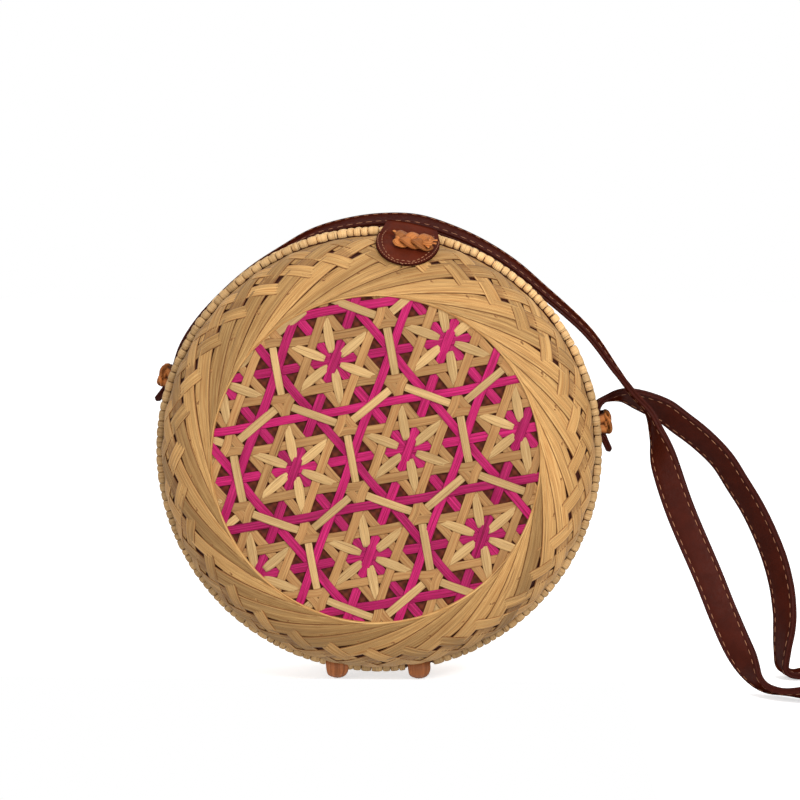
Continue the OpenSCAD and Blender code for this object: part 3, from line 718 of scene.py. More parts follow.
def lining(half, body):
    """Cotton sewn into a dish: a ring for the shoulder and a disc for the panel, with soft creases."""
    steps = 144
    first, last = (math.asin((depth - SHOULDER_D) / (SHOULDER_DEEP + LINING_OUT))
                   for depth in (LINING_START, LINING_BACK))
    r, d = on_ellipse(np.linspace(first, last, 26), LINING_OUT)
    flat = np.linspace(r[-1], 0.0, 22)[1:-1]
    r, d = np.concatenate([r, flat]), np.concatenate([d, np.full(len(flat), LINING_BACK)])
    angles = np.linspace(0, 2 * math.pi, steps, endpoint=False)
    share = np.linspace(0, 1, len(r))
    creases = (0.16 * np.sin(9 * angles)[:, None] * np.sin(7 * share + 1)[None]
               + 0.12 * np.sin(23 * angles + 2)[:, None] * np.sin(math.pi * np.clip(share * 1.6, 0, 1))[None])
    inward = np.abs(creases) + 0.02
    slope = unit(np.stack([np.gradient(d), -np.gradient(r)], -1))

    def skin(depth):
        return spun(r[None] - slope[None, :, 0] * depth, d[None] - slope[None, :, 1] * depth, angles[:, None])

    rings, count = len(r), steps * len(r)
    middle = LINING_BACK - 0.02
    points = np.concatenate([skin(inward).reshape(-1, 3), skin(inward + LINING_T / 2).reshape(-1, 3),
                             [[0, 0, middle], [0, 0, middle - LINING_T / 2]]])
    faces = []
    for i in range(steps):
        here, following = i * rings, (i + 1) % steps * rings
        for j in range(rings - 1):
            a, b, c, d = here + j, here + j + 1, following + j + 1, following + j
            faces += [(a, b, c, d), (a + count, d + count, c + count, b + count)]
        faces.append((here, following, following + count, here + count))
        here, following = here + rings - 1, following + rings - 1
        faces.append((here, 2 * count, following))
        faces.append((here + count, following + count, 2 * count + 1))
    piece = mesh_piece("lining_cloth_" + half, in_dish(half, points), faces, bag_material("cotton"))
    finish_piece(piece, body, "cotton", half + "_lining")


# A star's middle, from the panel's, and the turn of the weave
STAR = np.array([14.13, 4.88])
STAR_TURN = math.radians(10.3)
PANEL_R = 73.0
# Which family of strips lies over which: the one turned by 60 degrees, then 0, then 120
FAMILY_ORDER = (1, 2, 0)
# Distances from a star's middle in mm: where the petals' form starts and ends, where the cane itself starts, and
# where a plain strut takes over
PETAL_START, PETAL_END, PETAL_CUT, STRUT_START = 2.6, 21.0, 3.2, 20.0

Strand = namedtuple("Strand", "kind family foot along across")


def star_strands(pitch):
    """Every strip of the panel."""
    gap = pitch * math.sin(math.radians(60)) / 4
    strands = []
    for family in range(3):
        angle = STAR_TURN + family * math.pi / 3
        along = np.array([math.cos(angle), math.sin(angle)])
        across = np.array([-along[1], along[0]])
        for k in range(-9, 10):
            off = STAR @ across + k * gap
            if abs(off) < PANEL_R - 3:
                kind = {0: "star", 2: "ring"}.get(k % 4, "plain")
                strands.append(Strand(kind, family, off * across, along, across))
        for m in range(-6, 7):
            off = STAR @ along + m * pitch / 2
            if abs(off) < PANEL_R - 3:
                strands.append(Strand("strut", family, off * along, across, -along))
    return strands


def lattice_places(pitch):
    """Middles of the stars and of the three-cornered knots between them."""
    side = pitch * np.array([math.cos(STAR_TURN), math.sin(STAR_TURN)])
    rise = pitch * np.array([math.cos(STAR_TURN + math.pi / 3), math.sin(STAR_TURN + math.pi / 3)])
    stars = [STAR + i * side + j * rise for i in range(-4, 5) for j in range(-4, 5)]
    knots = []
    for star in stars:
        knots += [star + (side + rise) / 3, star + (2 * rise - side) / 3]
    return np.array(stars), np.array(knots)


def rank_strands(group, near_star):
    """Order of the strips at one crossing, lowest first."""
    kinds = [strand.kind for strand in group]
    if kinds.count("star") > 1:
        ranks = {"strut": 0}
    elif "star" in kinds and "ring" in kinds:
        ranks = {"star": 0, "ring": 0, "plain": 0}
    elif "star" in kinds:
        ranks = {"star": 0}
    elif "ring" in kinds:
        ranks = {"strut": 0, "ring": 2}
    else:
        ranks = {"plain": 0} if near_star else {"strut": 0}
    return sorted(group, key=lambda strand: ranks.get(strand.kind, 1) + FAMILY_ORDER[strand.family] / 10)


def find_crossings(strands):
    """Places where strips cross, each with the strips that meet there."""
    crossings = {}
    for i, first in enumerate(strands):
        for second in strands[i + 1:]:
            turn = first.along[0] * second.along[1] - first.along[1] * second.along[0]
            if abs(turn) < 0.1:
                continue
            gap = second.foot - first.foot
            place = first.foot + (gap[0] * second.along[1] - gap[1] * second.along[0]) / turn * first.along
            if np.linalg.norm(place) < PANEL_R + 6:
                # crossings of three strips fall together on a grid of half a mm
                key = (round(place[0] * 2 + 0.013), round(place[1] * 2 + 0.017))
                group = crossings.setdefault(key, (place, {}))[1]
                group.update({id(first): first, id(second): second})
    return [(place, list(group.values())) for place, group in crossings.values()]


def crossing_levels(strands, stars):
    """For each strip, the places of its crossings along it and its height over the ground there."""
    levels = {id(strand): [] for strand in strands}
    for place, group in find_crossings(strands):
        from_star = np.min(np.linalg.norm(stars - place, axis=1))
        if from_star < 1:
            group = [strand for strand in group if strand.kind != "strut"]
        only_struts = all(strand.kind == "strut" for strand in group)
        for rank, strand in enumerate(rank_strands(group, from_star < 16)):
            level = 0.35 + 0.12 * rank if only_struts else 0.95 + (rank - (len(group) - 1) / 2) * 0.4
            levels[id(strand)].append((float((place - strand.foot) @ strand.along), level))
    return levels


def strip_height(kind, run, marks):
    """Height along a strip: level at each crossing, with a soft slope between two."""
    if len(marks) < 2:
        return np.full(len(run), 0.9)
    at, value = np.array(sorted(marks)).T
    index = np.clip(np.searchsorted(at, run) - 1, 0, len(at) - 2)
    share = np.clip((run - at[index]) / (at[index + 1] - at[index]), 0, 1)
    if kind == "strut":
        # a top strip stays up until it is well past the one it lies over
        share = (share - np.where(value[index] > value[index + 1], 0.58, 0.07)) / 0.35
    else:
        share = (share - 0.22) / 0.56
    share = ease(np.clip(share, 0, 1))
    return value[index] * (1 - share) + value[index + 1] * share


def pull_aside(strand, run, places, reach, strength, length):
    """How far a strip is pulled towards places beside it, or away from them where strength is below 0."""
    shift = np.zeros(len(run))
    for place in places:
        off = float((place - strand.foot) @ strand.across)
        if abs(off) < reach:
            shift += np.sign(off) * strength * np.exp(-((run - (place - strand.foot) @ strand.along) / length) ** 2)
    return shift


def star_weave(half, body, seed):
    """Three directions of strips, and struts on top, each bent over and under the others."""
    sizes = bpy.context.scene.bag_sizes
    pitch = sizes.star_pitch / MM
    strands = star_strands(pitch)
    stars, knots = lattice_places(pitch)
    levels = crossing_levels(strands, stars)
    # kind: width, name, finish, slot and node of its strips
    made = {
        "star": (sizes.star_strip, "star_strips_", "dyed", "dyed_strip", "_star_dyed"),
        "ring": (sizes.ring_strip, "ring_strips_", "dyed", "dyed_strip", "_star_dyed"),
        "plain": (sizes.plain_strip, "plain_strips_", "plain", "natural_strip", "_star_natural"),
        "strut": (sizes.strut_width, "top_strips_", "top", "natural_strip", "_star_struts"),
    }
    packs = {kind: Strips(seed + number) for number, kind in enumerate(made)}
    pulls = {"plain": (knots, 6, 1.5, 6.5), "ring": (stars, 0.55 * pitch, -0.25, 8.0)}
    jitter = np.random.default_rng(seed + 9)
    for strand in strands:
        kind = strand.kind
        reach = math.sqrt(max(0.0, PANEL_R ** 2 - float(strand.foot @ strand.foot)))
        steps = max(8, int(reach / 0.7))
        run = np.linspace(-reach, reach, steps)
        height = strip_height(kind, run, levels[id(strand)])
        shift = pull_aside(strand, run, *pulls[kind]) if kind in pulls else np.zeros(steps)
        shift += 0.18 * np.sin(run / 13.0 + jitter.uniform(0, 6)) + jitter.normal(0, 0.12)
        flat = strand.foot[None] + run[:, None] * strand.along[None] + shift[:, None] * strand.across[None]
        wide = np.full(steps, made[kind][0] / MM) * jitter.uniform(0.94, 1.04)
        keep = np.ones(steps, bool)
        tone = jitter.uniform(0.3, 0.72)
        if kind == "strut":
            # leaf-shaped petals round the stars, and plain struts between them
            distance = np.min(np.linalg.norm(flat[:, None] - stars[None], axis=2), axis=1)
            petal = np.clip((distance - PETAL_START) / (PETAL_END - PETAL_START), 0, 1)
            leaf = 0.9 + 3.4 * np.sin(math.pi * petal ** 0.8) ** 0.75
            strut = 1.3 + (wide - 1.3) * ease(np.clip((distance - STRUT_START + 1.0) / 4.0, 0, 1))
            wide = np.where(distance < STRUT_START, leaf, strut)
            keep = distance > PETAL_CUT
        # strips sink towards the panel's edge
        fade = np.clip((PANEL_R - 0.2 - np.linalg.norm(flat, axis=1)) / 4.0, 0, 1)
        height = 0.3 + (height - 0.3) * (0.25 + 0.75 * fade)
        for group in np.split(np.arange(steps), np.where(~keep)[0]):
            group = group[keep[group]]
            if len(group) < 6:
                continue
            place = np.concatenate([flat[group], (GROUND_D + height[group])[:, None]], 1)
            side = np.concatenate([strand.across, [0.0]])[None] * wide[group, None] / 2
            out = dish_out(half, np.array([[0.0, 0.0, 1.0]]).repeat(len(group), 0))
            packs[kind].add(in_dish(half, place - side), in_dish(half, place + side), out, 0.36,
                            strip_section(1 if kind == "plain" else 2), tone, 0.1)
    for kind, (_, name, finish, slot, node) in made.items():
        finish_piece(packs[kind].piece(name + half, bag_material(finish)), body, slot, half + node)


def points_object(name, rows, marks):
    """Loose points with named values that a node tree puts its copies on."""
    mesh = bpy.data.meshes.new(name)
    mesh.from_pydata((np.asarray(rows) * MM).tolist(), [], [])
    for label, (kind, values) in marks.items():
        attribute = mesh.attributes.new(label, kind, "POINT")
        key = "vector" if kind == "FLOAT_VECTOR" else "value"
        attribute.data.foreach_set(key, np.asarray(values, dtype=np.float32).ravel())
    return link_piece(name, mesh)


def stitch_shape(tree):
    """A small rounded bead, along X."""
    bead = add(tree, "GeometryNodeMeshUVSphere", {"Segments": 8, "Rings": 5, "Radius": 0.5})
    return add(tree, "GeometryNodeTransform", {"Geometry": bead.outputs["Mesh"], "Rotation": (0, math.pi / 2, 0)})


def wrap_shape(tree):
    """A drum that is thinner towards its two ends, along X."""
    drum = add(tree, "GeometryNodeMeshCylinder", {
        "Vertices": 14, "Side Segments": 6, "Radius": 0.5, "Depth": 1.0}, fill_type="NGON")
    place = add(tree, "GeometryNodeInputPosition").outputs[0]
    parts = add(tree, "ShaderNodeSeparateXYZ", {0: place}).outputs
    end = calc(tree, "POWER", calc(tree, "ABSOLUTE", calc(tree, "MULTIPLY", parts[2], 2.0)), 3.0)
    thin = calc(tree, "SUBTRACT", 1.0, calc(tree, "MULTIPLY", end, 0.17))
    moved = add(tree, "ShaderNodeCombineXYZ", {
        0: calc(tree, "MULTIPLY", parts[0], thin), 1: calc(tree, "MULTIPLY", parts[1], thin), 2: parts[2]})
    bulged = add(tree, "GeometryNodeSetPosition", {"Geometry": drum.outputs["Mesh"], "Position": moved.outputs[0]})
    return add(tree, "GeometryNodeTransform", {"Geometry": bulged.outputs[0], "Rotation": (0, math.pi / 2, 0)})


def copies_tree(name, shape):
    """Lays one small shape on every point, along its way and facing out."""
    tree = bpy.data.node_groups.new(name, "GeometryNodeTree")
    face = tree.interface
    face.new_socket("Geometry", in_out="INPUT", socket_type="NodeSocketGeometry")
    for label, value in (("Length", 0.003), ("Width", 0.001), ("Height", 0.001)):
        socket = face.new_socket(label, in_out="INPUT", socket_type="NodeSocketFloat")
        socket.default_value = value
        socket.subtype = "DISTANCE"
    face.new_socket("Material", in_out="INPUT", socket_type="NodeSocketMaterial")
    face.new_socket("Geometry", in_out="OUTPUT", socket_type="NodeSocketGeometry")
    given = tree.nodes.new("NodeGroupInput").outputs
    sink = tree.nodes.new("NodeGroupOutput")

    def named(label, kind):
        return add(tree, "GeometryNodeInputNamedAttribute", {"Name": label}, data_type=kind).outputs[0]

    first = add(tree, "FunctionNodeAlignRotationToVector", {"Vector": named("along", "FLOAT_VECTOR")}, axis="X")
    second = add(tree, "FunctionNodeAlignRotationToVector", {
        "Rotation": first.outputs[0], "Vector": named("out", "FLOAT_VECTOR")}, axis="Z", pivot_axis="X")
    size = add(tree, "ShaderNodeCombineXYZ", {
        0: calc(tree, "MULTIPLY", given["Length"], named("grow", "FLOAT")), 1: given["Width"], 2: given["Height"]})
    laid = add(tree, "GeometryNodeInstanceOnPoints", {
        "Points": given["Geometry"], "Instance": shape(tree).outputs[0], "Rotation": second.outputs[0],
        "Scale": size.outputs[0]})
    real = add(tree, "GeometryNodeRealizeInstances", {"Geometry": laid.outputs[0]})
    smooth = add(tree, "GeometryNodeSetShadeSmooth", {"Geometry": real.outputs[0]})
    done = add(tree, "GeometryNodeSetMaterial", {"Geometry": smooth.outputs[0], "Material": given["Material"]})
    tree.links.new(done.outputs[0], sink.inputs[0])
    return tree


TREE_SHAPES = {"Stitch row": stitch_shape, "Rim wraps": wrap_shape}
TREES = {}


def lay_copies(name, kind, rows, along, out, grow, tones, sizes, material):
    """Points and a node tree, turned into one plain mesh that keeps the points' tones."""
    if kind not in TREES:
        TREES[kind] = copies_tree(kind, TREE_SHAPES[kind])
    tree = TREES[kind]
    source = points_object(name + "_points", rows, {
        "along": ("FLOAT_VECTOR", along), "out": ("FLOAT_VECTOR", out),
        "grow": ("FLOAT", grow), "tone": ("FLOAT", tones)})
    modifier = source.modifiers.new("Copies", "NODES")
    modifier.node_group = tree
    values = dict(zip(("Length", "Width", "Height"), [size * MM for size in sizes]), Material=material)
    for item in tree.interface.items_tree:
        if item.item_type == "SOCKET" and item.in_out == "INPUT" and item.name in values:
            modifier[item.identifier] = values[item.name]
    view = bpy.context.evaluated_depsgraph_get()
    mesh = bpy.data.meshes.new_from_object(source.evaluated_get(view), depsgraph=view)
    source.modifiers.remove(modifier)
    bpy.data.objects.remove(source)
    mesh.name = name
    if "tone" not in mesh.attributes:
        raise RuntimeError(name + " lost its tones")
    return link_piece(name, mesh)


def rim_wraps(half, body, seed):
    """Cane wound round the rim, wrap beside wrap."""
    sizes = bpy.context.scene.bag_sizes
    jitter = np.random.default_rng(seed + 70)
    widths = jitter.uniform(0.72, 1.3, sizes.rim_wraps)
    widths *= 2 * math.pi / widths.sum()
    angles = np.cumsum(widths) - widths / 2
    # none where the hinge loops go round the rim
    loop_angle = math.degrees(math.asin(HINGE_LOOP_X / RIM_R))
    clear = np.abs(np.abs(np.degrees(angles) - 180) - loop_angle) > 3.2
    angles, widths = angles[clear], widths[clear]
    count = len(angles)
    # looser and less even at the top, and paler there as a painted highlight from the light above; fuller below,
    # where the bag stands
    loose_and_lit = np.clip(np.cos(angles - 0.35) * 2.2 - 1.0, 0, 1)
    full = 0.3 * np.clip(-np.cos(angles) - 0.2, 0, 1) + 0.3 * loose_and_lit
    centre_r = RIM_R + full + jitter.normal(0, 0.04 + 0.08 * loose_and_lit)
    place, out = spun(centre_r, RIM_D, angles), spun(1.0, 0.0, angles)
    along = np.stack([np.cos(angles), -np.sin(angles), jitter.normal(0.10, 0.08, count)], -1)
    long = widths * RIM_R - 0.26 - 0.16 * loose_and_lit
    # painted highlight: the wraps towards the top right get paler tones
    tones = 0.05 + jitter.uniform(0.0, 0.35, count) + 0.6 * loose_and_lit
    size = 2 * sizes.wrap_radius / MM
    piece = lay_copies("rim_wraps_" + half, "Rim wraps", in_dish(half, place), unit(dish_out(half, along)),
                       unit(dish_out(half, out)), long, tones, (1.0, size, size), bag_material("wrap"))
    ring_uv(piece)
    finish_piece(piece, body, "rim_cane", half + "_rim_binding")


def ring_uv(piece):
    """UV of the wraps: along is round the rim's section, across is round the bag."""
    mesh = piece.data
    places = np.empty(len(mesh.vertices) * 3, np.float32)
    mesh.vertices.foreach_get("co", places)
    x, y, z = places.reshape(-1, 3).T / MM
    z = z - CENTRE_Z
    round_bag = np.arctan2(x, z) * RIM_R
    round_section = np.arctan2(np.abs(y) - RIM_D, np.hypot(x, z) - RIM_R) * 1.8
    corners = np.empty(len(mesh.loops), np.int32)
    mesh.loops.foreach_get("vertex_index", corners)
    layer = mesh.uv_layers.get("UVMap") or mesh.uv_layers.new(name="UVMap")
    uvs = np.stack([round_section[corners], round_bag[corners]], -1) * MM
    layer.data.foreach_set("uv", uvs.astype(np.float32).ravel())


def hinge_loop(name, x, seed):
    """Cane wound round the two rims: a bundle of strands with a rounded back, narrower below."""
    strips = Strips(seed)
    angle = np.linspace(0, 2 * math.pi, 73)
    nothing = np.zeros(len(angle))
    strands = 5
    # its section: across, height and painted shade, darker in the grooves between strands and underneath
    section = [(-1 + j / strands, 0.5 + 0.95 * (1 - (j / strands - 1) ** 2) - (0 if j % 2 else 0.12),
                0.0 if j % 2 else 0.7) for j in range(2 * strands + 1)]
    section += [(0.98, -0.5, 1.0), (-0.98, -0.5, 1.0)]
    radius = 4.0 + 0.06 * np.sin(5 * angle)
    centre = np.stack([x + 0.15 * np.sin(3 * angle), radius * np.sin(angle), HINGE_Z + radius * np.cos(angle)], -1)
    out = np.stack([nothing, np.sin(angle), np.cos(angle)], -1)
    low = (1 - np.cos(angle)) / 2
    side = np.stack([5.2 - 2.1 * low ** 4, nothing, nothing], -1)
    strips.add(centre - side, centre + side, out, 0.78, np.array(section), 0.55, 0.35)
    piece = strips.piece(name + "_cane", bag_material("loop"))
    finish_piece(piece, "back_half", "rim_cane", name)


def rim_frame(x, y, r):
    """From across, depth and radius at the tab to the bag's frame, in mm."""
    c, s = math.cos(TAB_ANGLE), math.sin(TAB_ANGLE)
    z = np.sqrt(np.maximum(r * r - x * x, 0))
    return np.stack([c * x + s * z, y, CENTRE_Z - s * x + c * z], -1)


def slab(name, top, bottom, edge, material):
    """A closed leather shape from two grids of places; edge is 0 in the middle and 1 at the rim."""
    rows, columns = top.shape[:2]
    count = rows * columns
    index = np.arange(count).reshape(rows, columns)
    faces = []
    for r in range(rows - 1):
        for c in range(columns - 1):
            a, b, d, e = index[r, c], index[r, c + 1], index[r + 1, c + 1], index[r + 1, c]
            faces += [(a, b, d, e), (a + count, e + count, d + count, b + count)]
    border = [*index[0], *index[1:, -1], *index[-1, -2::-1], *index[-2:0:-1, 0]]
    for a, b in zip(border, border[1:] + border[:1]):
        faces.append((a, a + count, b + count, b))
    points = np.concatenate([top.reshape(-1, 3), bottom.reshape(-1, 3)])
    return mesh_piece(name, points, faces, material, None, {"edge": np.concatenate([edge.ravel(), np.ones(count)])})


TAB_IN_R = BAG_R + FIT
TAB_START = math.asin((TAB_FOLD + FIT - SHOULDER_D) / (SHOULDER_DEEP + FIT))
TAB_LIFT = TAB_IN_R - on_ellipse(TAB_START, FIT)[0]
TAB_ROUND = 0.34 * TAB_W
TAB_PUFF = 1.4
TAB_NECK = 2.7
TAB_END_R = on_ellipse(TAB_END, FIT)[0] + 1.0
# Each layer: its name, its lower and upper face, its finish and its slot
TAB_LAYERS = (("backing", 0.0, TAB_T, "inside", "leather_back"),
              ("leather", TAB_T + 0.04, 2 * TAB_T, "tab", "leather_face"))
# Each row of stitches: its name, how far it lies from the edge, where it starts and how large it is
TAB_STITCHES = (("tab_stitches", 2.5, 0.08, 0.55), ("tab_edge_stitches", 0.7, 0.3, 0.34))


def tab_sway(share):
    """How far the tab's middle lies to the side: its lower end hangs a little to the left."""
    return 1.3 * (0.45 - share)


def tab_lean(x):
    """The fold is higher on its left side than on its right one."""
    return TAB_PUFF * (1 - 0.045 * x)


def tab_line(share, out):
    """Radius and depth down the front of the tab, share from the fold (0) to the end (1)."""
    r, d = on_ellipse(TAB_START + (TAB_END - TAB_START) * share, FIT + out)
    return r + TAB_LIFT * np.maximum(0, 1 - share / 0.3) ** 2, np.maximum(d, TAB_FOLD + 0.03)


def tab_half_width(r):
    """Half the tab's width where its middle lies at a radius, with a rounded end, found in a few steps."""
    wide = np.full(np.shape(r), TAB_W / 2)
    for _ in range(12):
        z = np.sqrt(np.maximum(r * r - wide * wide, 0))
        share = np.clip((TAB_END_R + TAB_ROUND - z) / TAB_ROUND, 0, 1)
        wide = 0.5 * wide + 0.5 * TAB_W / 2 * np.sqrt(np.maximum(1e-4, 1 - share ** 2))
    return wide


def tab_neck(share):
    """How much narrower than its middle the tab is near its fold, on each side."""
    return TAB_NECK * np.clip(1 - share / 0.38, 0, 1) ** 1.5


def edge_marks(across, down):
    """How near each place of a grid is to its rim, from how far it lies across and down."""
    return np.maximum(np.abs(across)[None], np.clip(down, 0, 1)[:, None])


def tab_grid(low, high, rows=44, columns=33):
    """The tab's front part between two heights: its upper and lower faces and its marks."""
    share = np.concatenate([np.linspace(0, 0.7, rows // 2, endpoint=False),
                            0.7 + 0.3 * np.sin(np.linspace(0, math.pi / 2, rows - rows // 2))])
    across = np.sin(np.linspace(-1, 1, columns) * math.pi / 2)
    wide = tab_half_width(tab_line(share, 0.0)[0]) - tab_neck(share)
    x = across[None] * wide[:, None]
    lift = tab_lean(x) * np.maximum(0, 1 - share / 0.25)[:, None] ** 2
    faces = []
    for out in (high, low):
        r, d = tab_line(share, out)
        # its raised edge leans forwards, out of the way of the flap
        depth = np.maximum(d[:, None], TAB_FOLD + 0.05 + 0.45 * lift)
        faces.append(rim_frame(x + tab_sway(share)[:, None], -depth, r[:, None] + lift))
    return *faces, edge_marks(across, (share - 0.55) / 0.45)


def flap_line(y, out):
    """Radius of the flap over the rims and down to the back shoulder."""
    bend = RIM_D + FIT
    end_r = on_ellipse(math.asin((TAB_REACH - SHOULDER_D) / SHOULDER_DEEP))[0] + FIT
    fall = (TAB_IN_R - end_r) / (TAB_REACH - bend)
    return TAB_IN_R + out - np.maximum(0, y - bend) * fall


def flap_grid(low, high, rows=30, columns=33):
    """The tab's end over the top between two heights: its upper and lower faces and its marks."""
    front = -TAB_FOLD + 0.02
    depth = front + (TAB_REACH - front) * np.sin(np.linspace(0, math.pi / 2, rows))
    across = np.sin(np.linspace(-1, 1, columns) * math.pi / 2)
    rounded = TAB_W / 4
    share = np.clip((depth - (TAB_REACH - rounded)) / rounded, 0, 1)
    wide = TAB_W / 2 * np.sqrt(np.maximum(1e-4, 1 - share ** 2)) - TAB_NECK
    x = across[None] * wide[:, None]
    y = depth[:, None] * np.ones_like(x)
    faces = [rim_frame(x + tab_sway(0.0), y, flap_line(y, out)) for out in (high, low)]
    return *faces, edge_marks(across, (share - 0.3) / 0.7)


def round_rim(top, drop=0.22):
    """Lowers the outermost ring of a grid a little, so that the cut edge is rounded."""
    ring = np.zeros(top.shape[:2], bool)
    ring[:, 0] = ring[:, -1] = ring[-1, :] = True
    shape = top.copy()
    shape[ring] -= unit(top - BAG_CENTRE)[ring] * drop
    return shape


def stitch_rows(name, body, lines, outs, scale=1.0):
    """Stitches along lines of places; each line has its ways out."""
    sizes = bpy.context.scene.bag_sizes
    pitch = scale * sizes.stitch_pitch / MM
    spots, ways, normals = [], [], []
    for line, out in zip(lines, outs):
        length = lengths(line)
        at = np.arange(pitch / 2, length[-1], pitch)

        def there(shift, rows):
            return np.stack([np.interp(at + shift, length, rows[:, k]) for k in range(3)], -1)

        spots.append(there(0, line))
        ways.append(unit(there(0.6, line) - there(-0.6, line)))
        normals.append(unit(there(0, out)))
    spots = np.concatenate(spots)
    count = len(spots)
    jitter = np.random.default_rng(count)
    piece = lay_copies(name, "Stitch row", spots, np.concatenate(ways), np.concatenate(normals),
                       jitter.uniform(0.85, 1.1, count), jitter.uniform(0, 1, count),
                       (scale * sizes.stitch_length / MM, 0.38, 0.36), bag_material("thread"))
    finish_piece(piece, body, "leather_face")


def leather_tab():
    """The tab's two parts, each of two layers, and the two rows of stitches on its front."""
    for part, body, grid in (("tab_front_", "front_half", tab_grid), ("tab_flap_", "tab_flap", flap_grid)):
        for layer, low, high, material, slot in TAB_LAYERS:
            top, bottom, edge = grid(low, high)
            piece = slab(part + layer + "_skin", round_rim(top), bottom, edge, bag_material(material))
            finish_piece(piece, body, slot, part + layer)
    for name, inset, first, scale in TAB_STITCHES:
        share = np.linspace(first, 1.0, 160)
        r, d = tab_line(share, 2 * TAB_T + 0.05)
        wide = tab_half_width(tab_line(share, 0.0)[0]) - tab_neck(share)
        keep = r > TAB_END_R + inset * 0.9
        r, d, sway = r[keep], d[keep], tab_sway(share)[keep]
        x = np.maximum(0, wide - inset)[keep]
        line = np.concatenate([rim_frame(sway + x, -d, r), rim_frame(sway - x, -d, r)[::-1]])
        way = unit(line - BAG_CENTRE)
        way[:, 1] -= 0.6
        stitch_rows(name, "front_half", [line], [unit(way)], scale)


# The strap's middle and its way across, place by place: down from the bag, round on the floor and up again
FALL = [
    (93.2, 16.8, 157.7, 0.14, 0.99, 0.08), (106.6, 10.0, 139.9, 0.04, 0.99, 0.03),
    (113.4, 5.0, 131.0, -0.06, 0.99, -0.03), (120.8, 0.0, 122.4, -0.12, 0.99, 0.00),
    (124.6, -4.0, 112.2, -0.35, 0.93, -0.10), (128.4, -10.0, 98.0, -0.88, 0.45, -0.30),
    (134.9, -16.0, 78.8, -0.90, 0.20, -0.38), (146.4, -21.0, 52.2, -0.90, 0.05, -0.42),
    (153.6, -24.0, 34.5, -0.90, 0.10, -0.42), (161.0, -28.5, 18.4, -0.78, 0.45, -0.44),
    (169.0, -33.5, 6.4, -0.10, 0.88, -0.40), (180.5, -42.0, 3.6, 0.38, 0.86, -0.25)]
FLOOR = [
    (199.0, -56.0, 0.35, 0.60, -0.70), (224.0, -69.0, 0.10, 0.20, -0.97), (258.0, -77.0, 0.00, 0.00, -1.00),
    (298.0, -72.0, 0.00, 0.00, -1.00), (332.0, -52.0, 0.00, 0.00, -1.00), (354.0, -18.0, 0.00, 0.00, -1.00),
    (356.0, 24.0, 0.00, 0.00, -1.00), (338.0, 62.0, 0.00, 0.00, -1.00), (304.0, 86.0, 0.00, 0.00, -1.00),
    (264.0, 88.0, 0.00, 0.00, -1.00), (234.0, 74.0, -0.05, 0.05, -0.99), (216.0, 52.0, -0.20, 0.20, -0.95),
    (207.0, 30.0, -0.60, 0.40, -0.66)]
RISE = [
    (197.5, 15.0, 3.5, -0.50, 0.80, -0.25), (190.0, 9.0, 2.1, -0.20, 0.97, 0.00),
    (183.7, 7.5, 4.5, -0.20, 0.97, 0.00), (183.4, 8.5, 12.9, -0.35, 0.93, 0.00),
    (184.3, 10.5, 21.9, -0.55, 0.83, 0.00), (184.6, 13.0, 30.0, -0.62, 0.78, 0.00),
    (183.5, 17.0, 40.9, -0.68, 0.73, 0.00), (180.6, 20.0, 52.6, -0.72, 0.69, -0.10),
    (175.7, 22.0, 65.1, -0.70, 0.70, -0.20), (170.0, 23.5, 76.5, -0.64, 0.69, -0.33),
    (163.3, 24.5, 87.2, -0.60, 0.66, -0.41), (156.3, 25.0, 97.9, -0.56, 0.66, -0.48),
    (147.0, 25.0, 107.2, -0.53, 0.60, -0.57), (137.0, 25.0, 114.9, -0.45, 0.56, -0.68),
    (129.2, 25.5, 120.5, -0.36, 0.58, -0.72), (118.3, 24.8, 125.3, -0.15, 0.74, -0.62),
    (111.2, 23.5, 127.6, 0.00, 0.90, -0.40), (104.6, 20.8, 127.0, 0.00, 0.97, -0.20)]
# How far the strap arches off the bag, at each step from the left knot on
ARCH = [0.0, 1.0, 0.5, 0.0, 0.0, 0.5, 2.6, 3.7, 4.8, 5.6, 4.6, 3.9, 3.6, 3.6]
# How far it leans there, its front edge down, in degrees
TILT = [0, 0, 0, 3, 7, 11, 14, 17, 18, 18, 17, 16, 15, 13]
STRAP_LEFT, STRAP_KNOT_LEFT, STRAP_STEP = -78.8, -72, 9
STRAP_MEET, STRAP_KNOT_RIGHT, STRAP_RIGHT = 79, 83.5, 91


def strap_route():
    """Places of the strap's middle and its way across, in mm, as in the part's source."""
    middle_r = STRAP_IN_R + STRAP_T / 2
    width = bpy.context.scene.bag_sizes.strap_width / MM
    rows = []

    def wrap(angle, r=middle_r, tilt=0.0):
        a, b = math.radians(angle), math.radians(tilt)
        rows.append(((r * math.sin(a), STRAP_Y, CENTRE_Z + r * math.cos(a)),
                     (math.sin(a) * math.sin(b), math.cos(b), math.cos(a) * math.sin(b))))

    wrap(STRAP_LEFT, middle_r + 1.5 * STRAP_T)
    for step, (lift, tilt) in enumerate(zip(ARCH, TILT)):
        wrap(STRAP_KNOT_LEFT + step * STRAP_STEP, middle_r + lift - 0.1 * tilt, tilt)
    for row in FALL:
        rows.append((row[:3], unit(row[3:])))
    for x, y, *way in FLOOR:
        way = unit(way)
        stand = abs(way[2])
        rows.append(((x, y, stand * width / 2 + math.sqrt(1 - stand * stand) * STRAP_T / 2), way))
    for row in RISE:
        rows.append((row[:3], unit(row[3:])))
    wrap(STRAP_MEET, middle_r + STRAP_T / 3)
    wrap(STRAP_KNOT_RIGHT)
    wrap(STRAP_RIGHT, middle_r + 1.6 * STRAP_T)
    places = np.array([row[0] for row in rows], float)
    ways = np.array([row[1] for row in rows], float)
    return places, ways


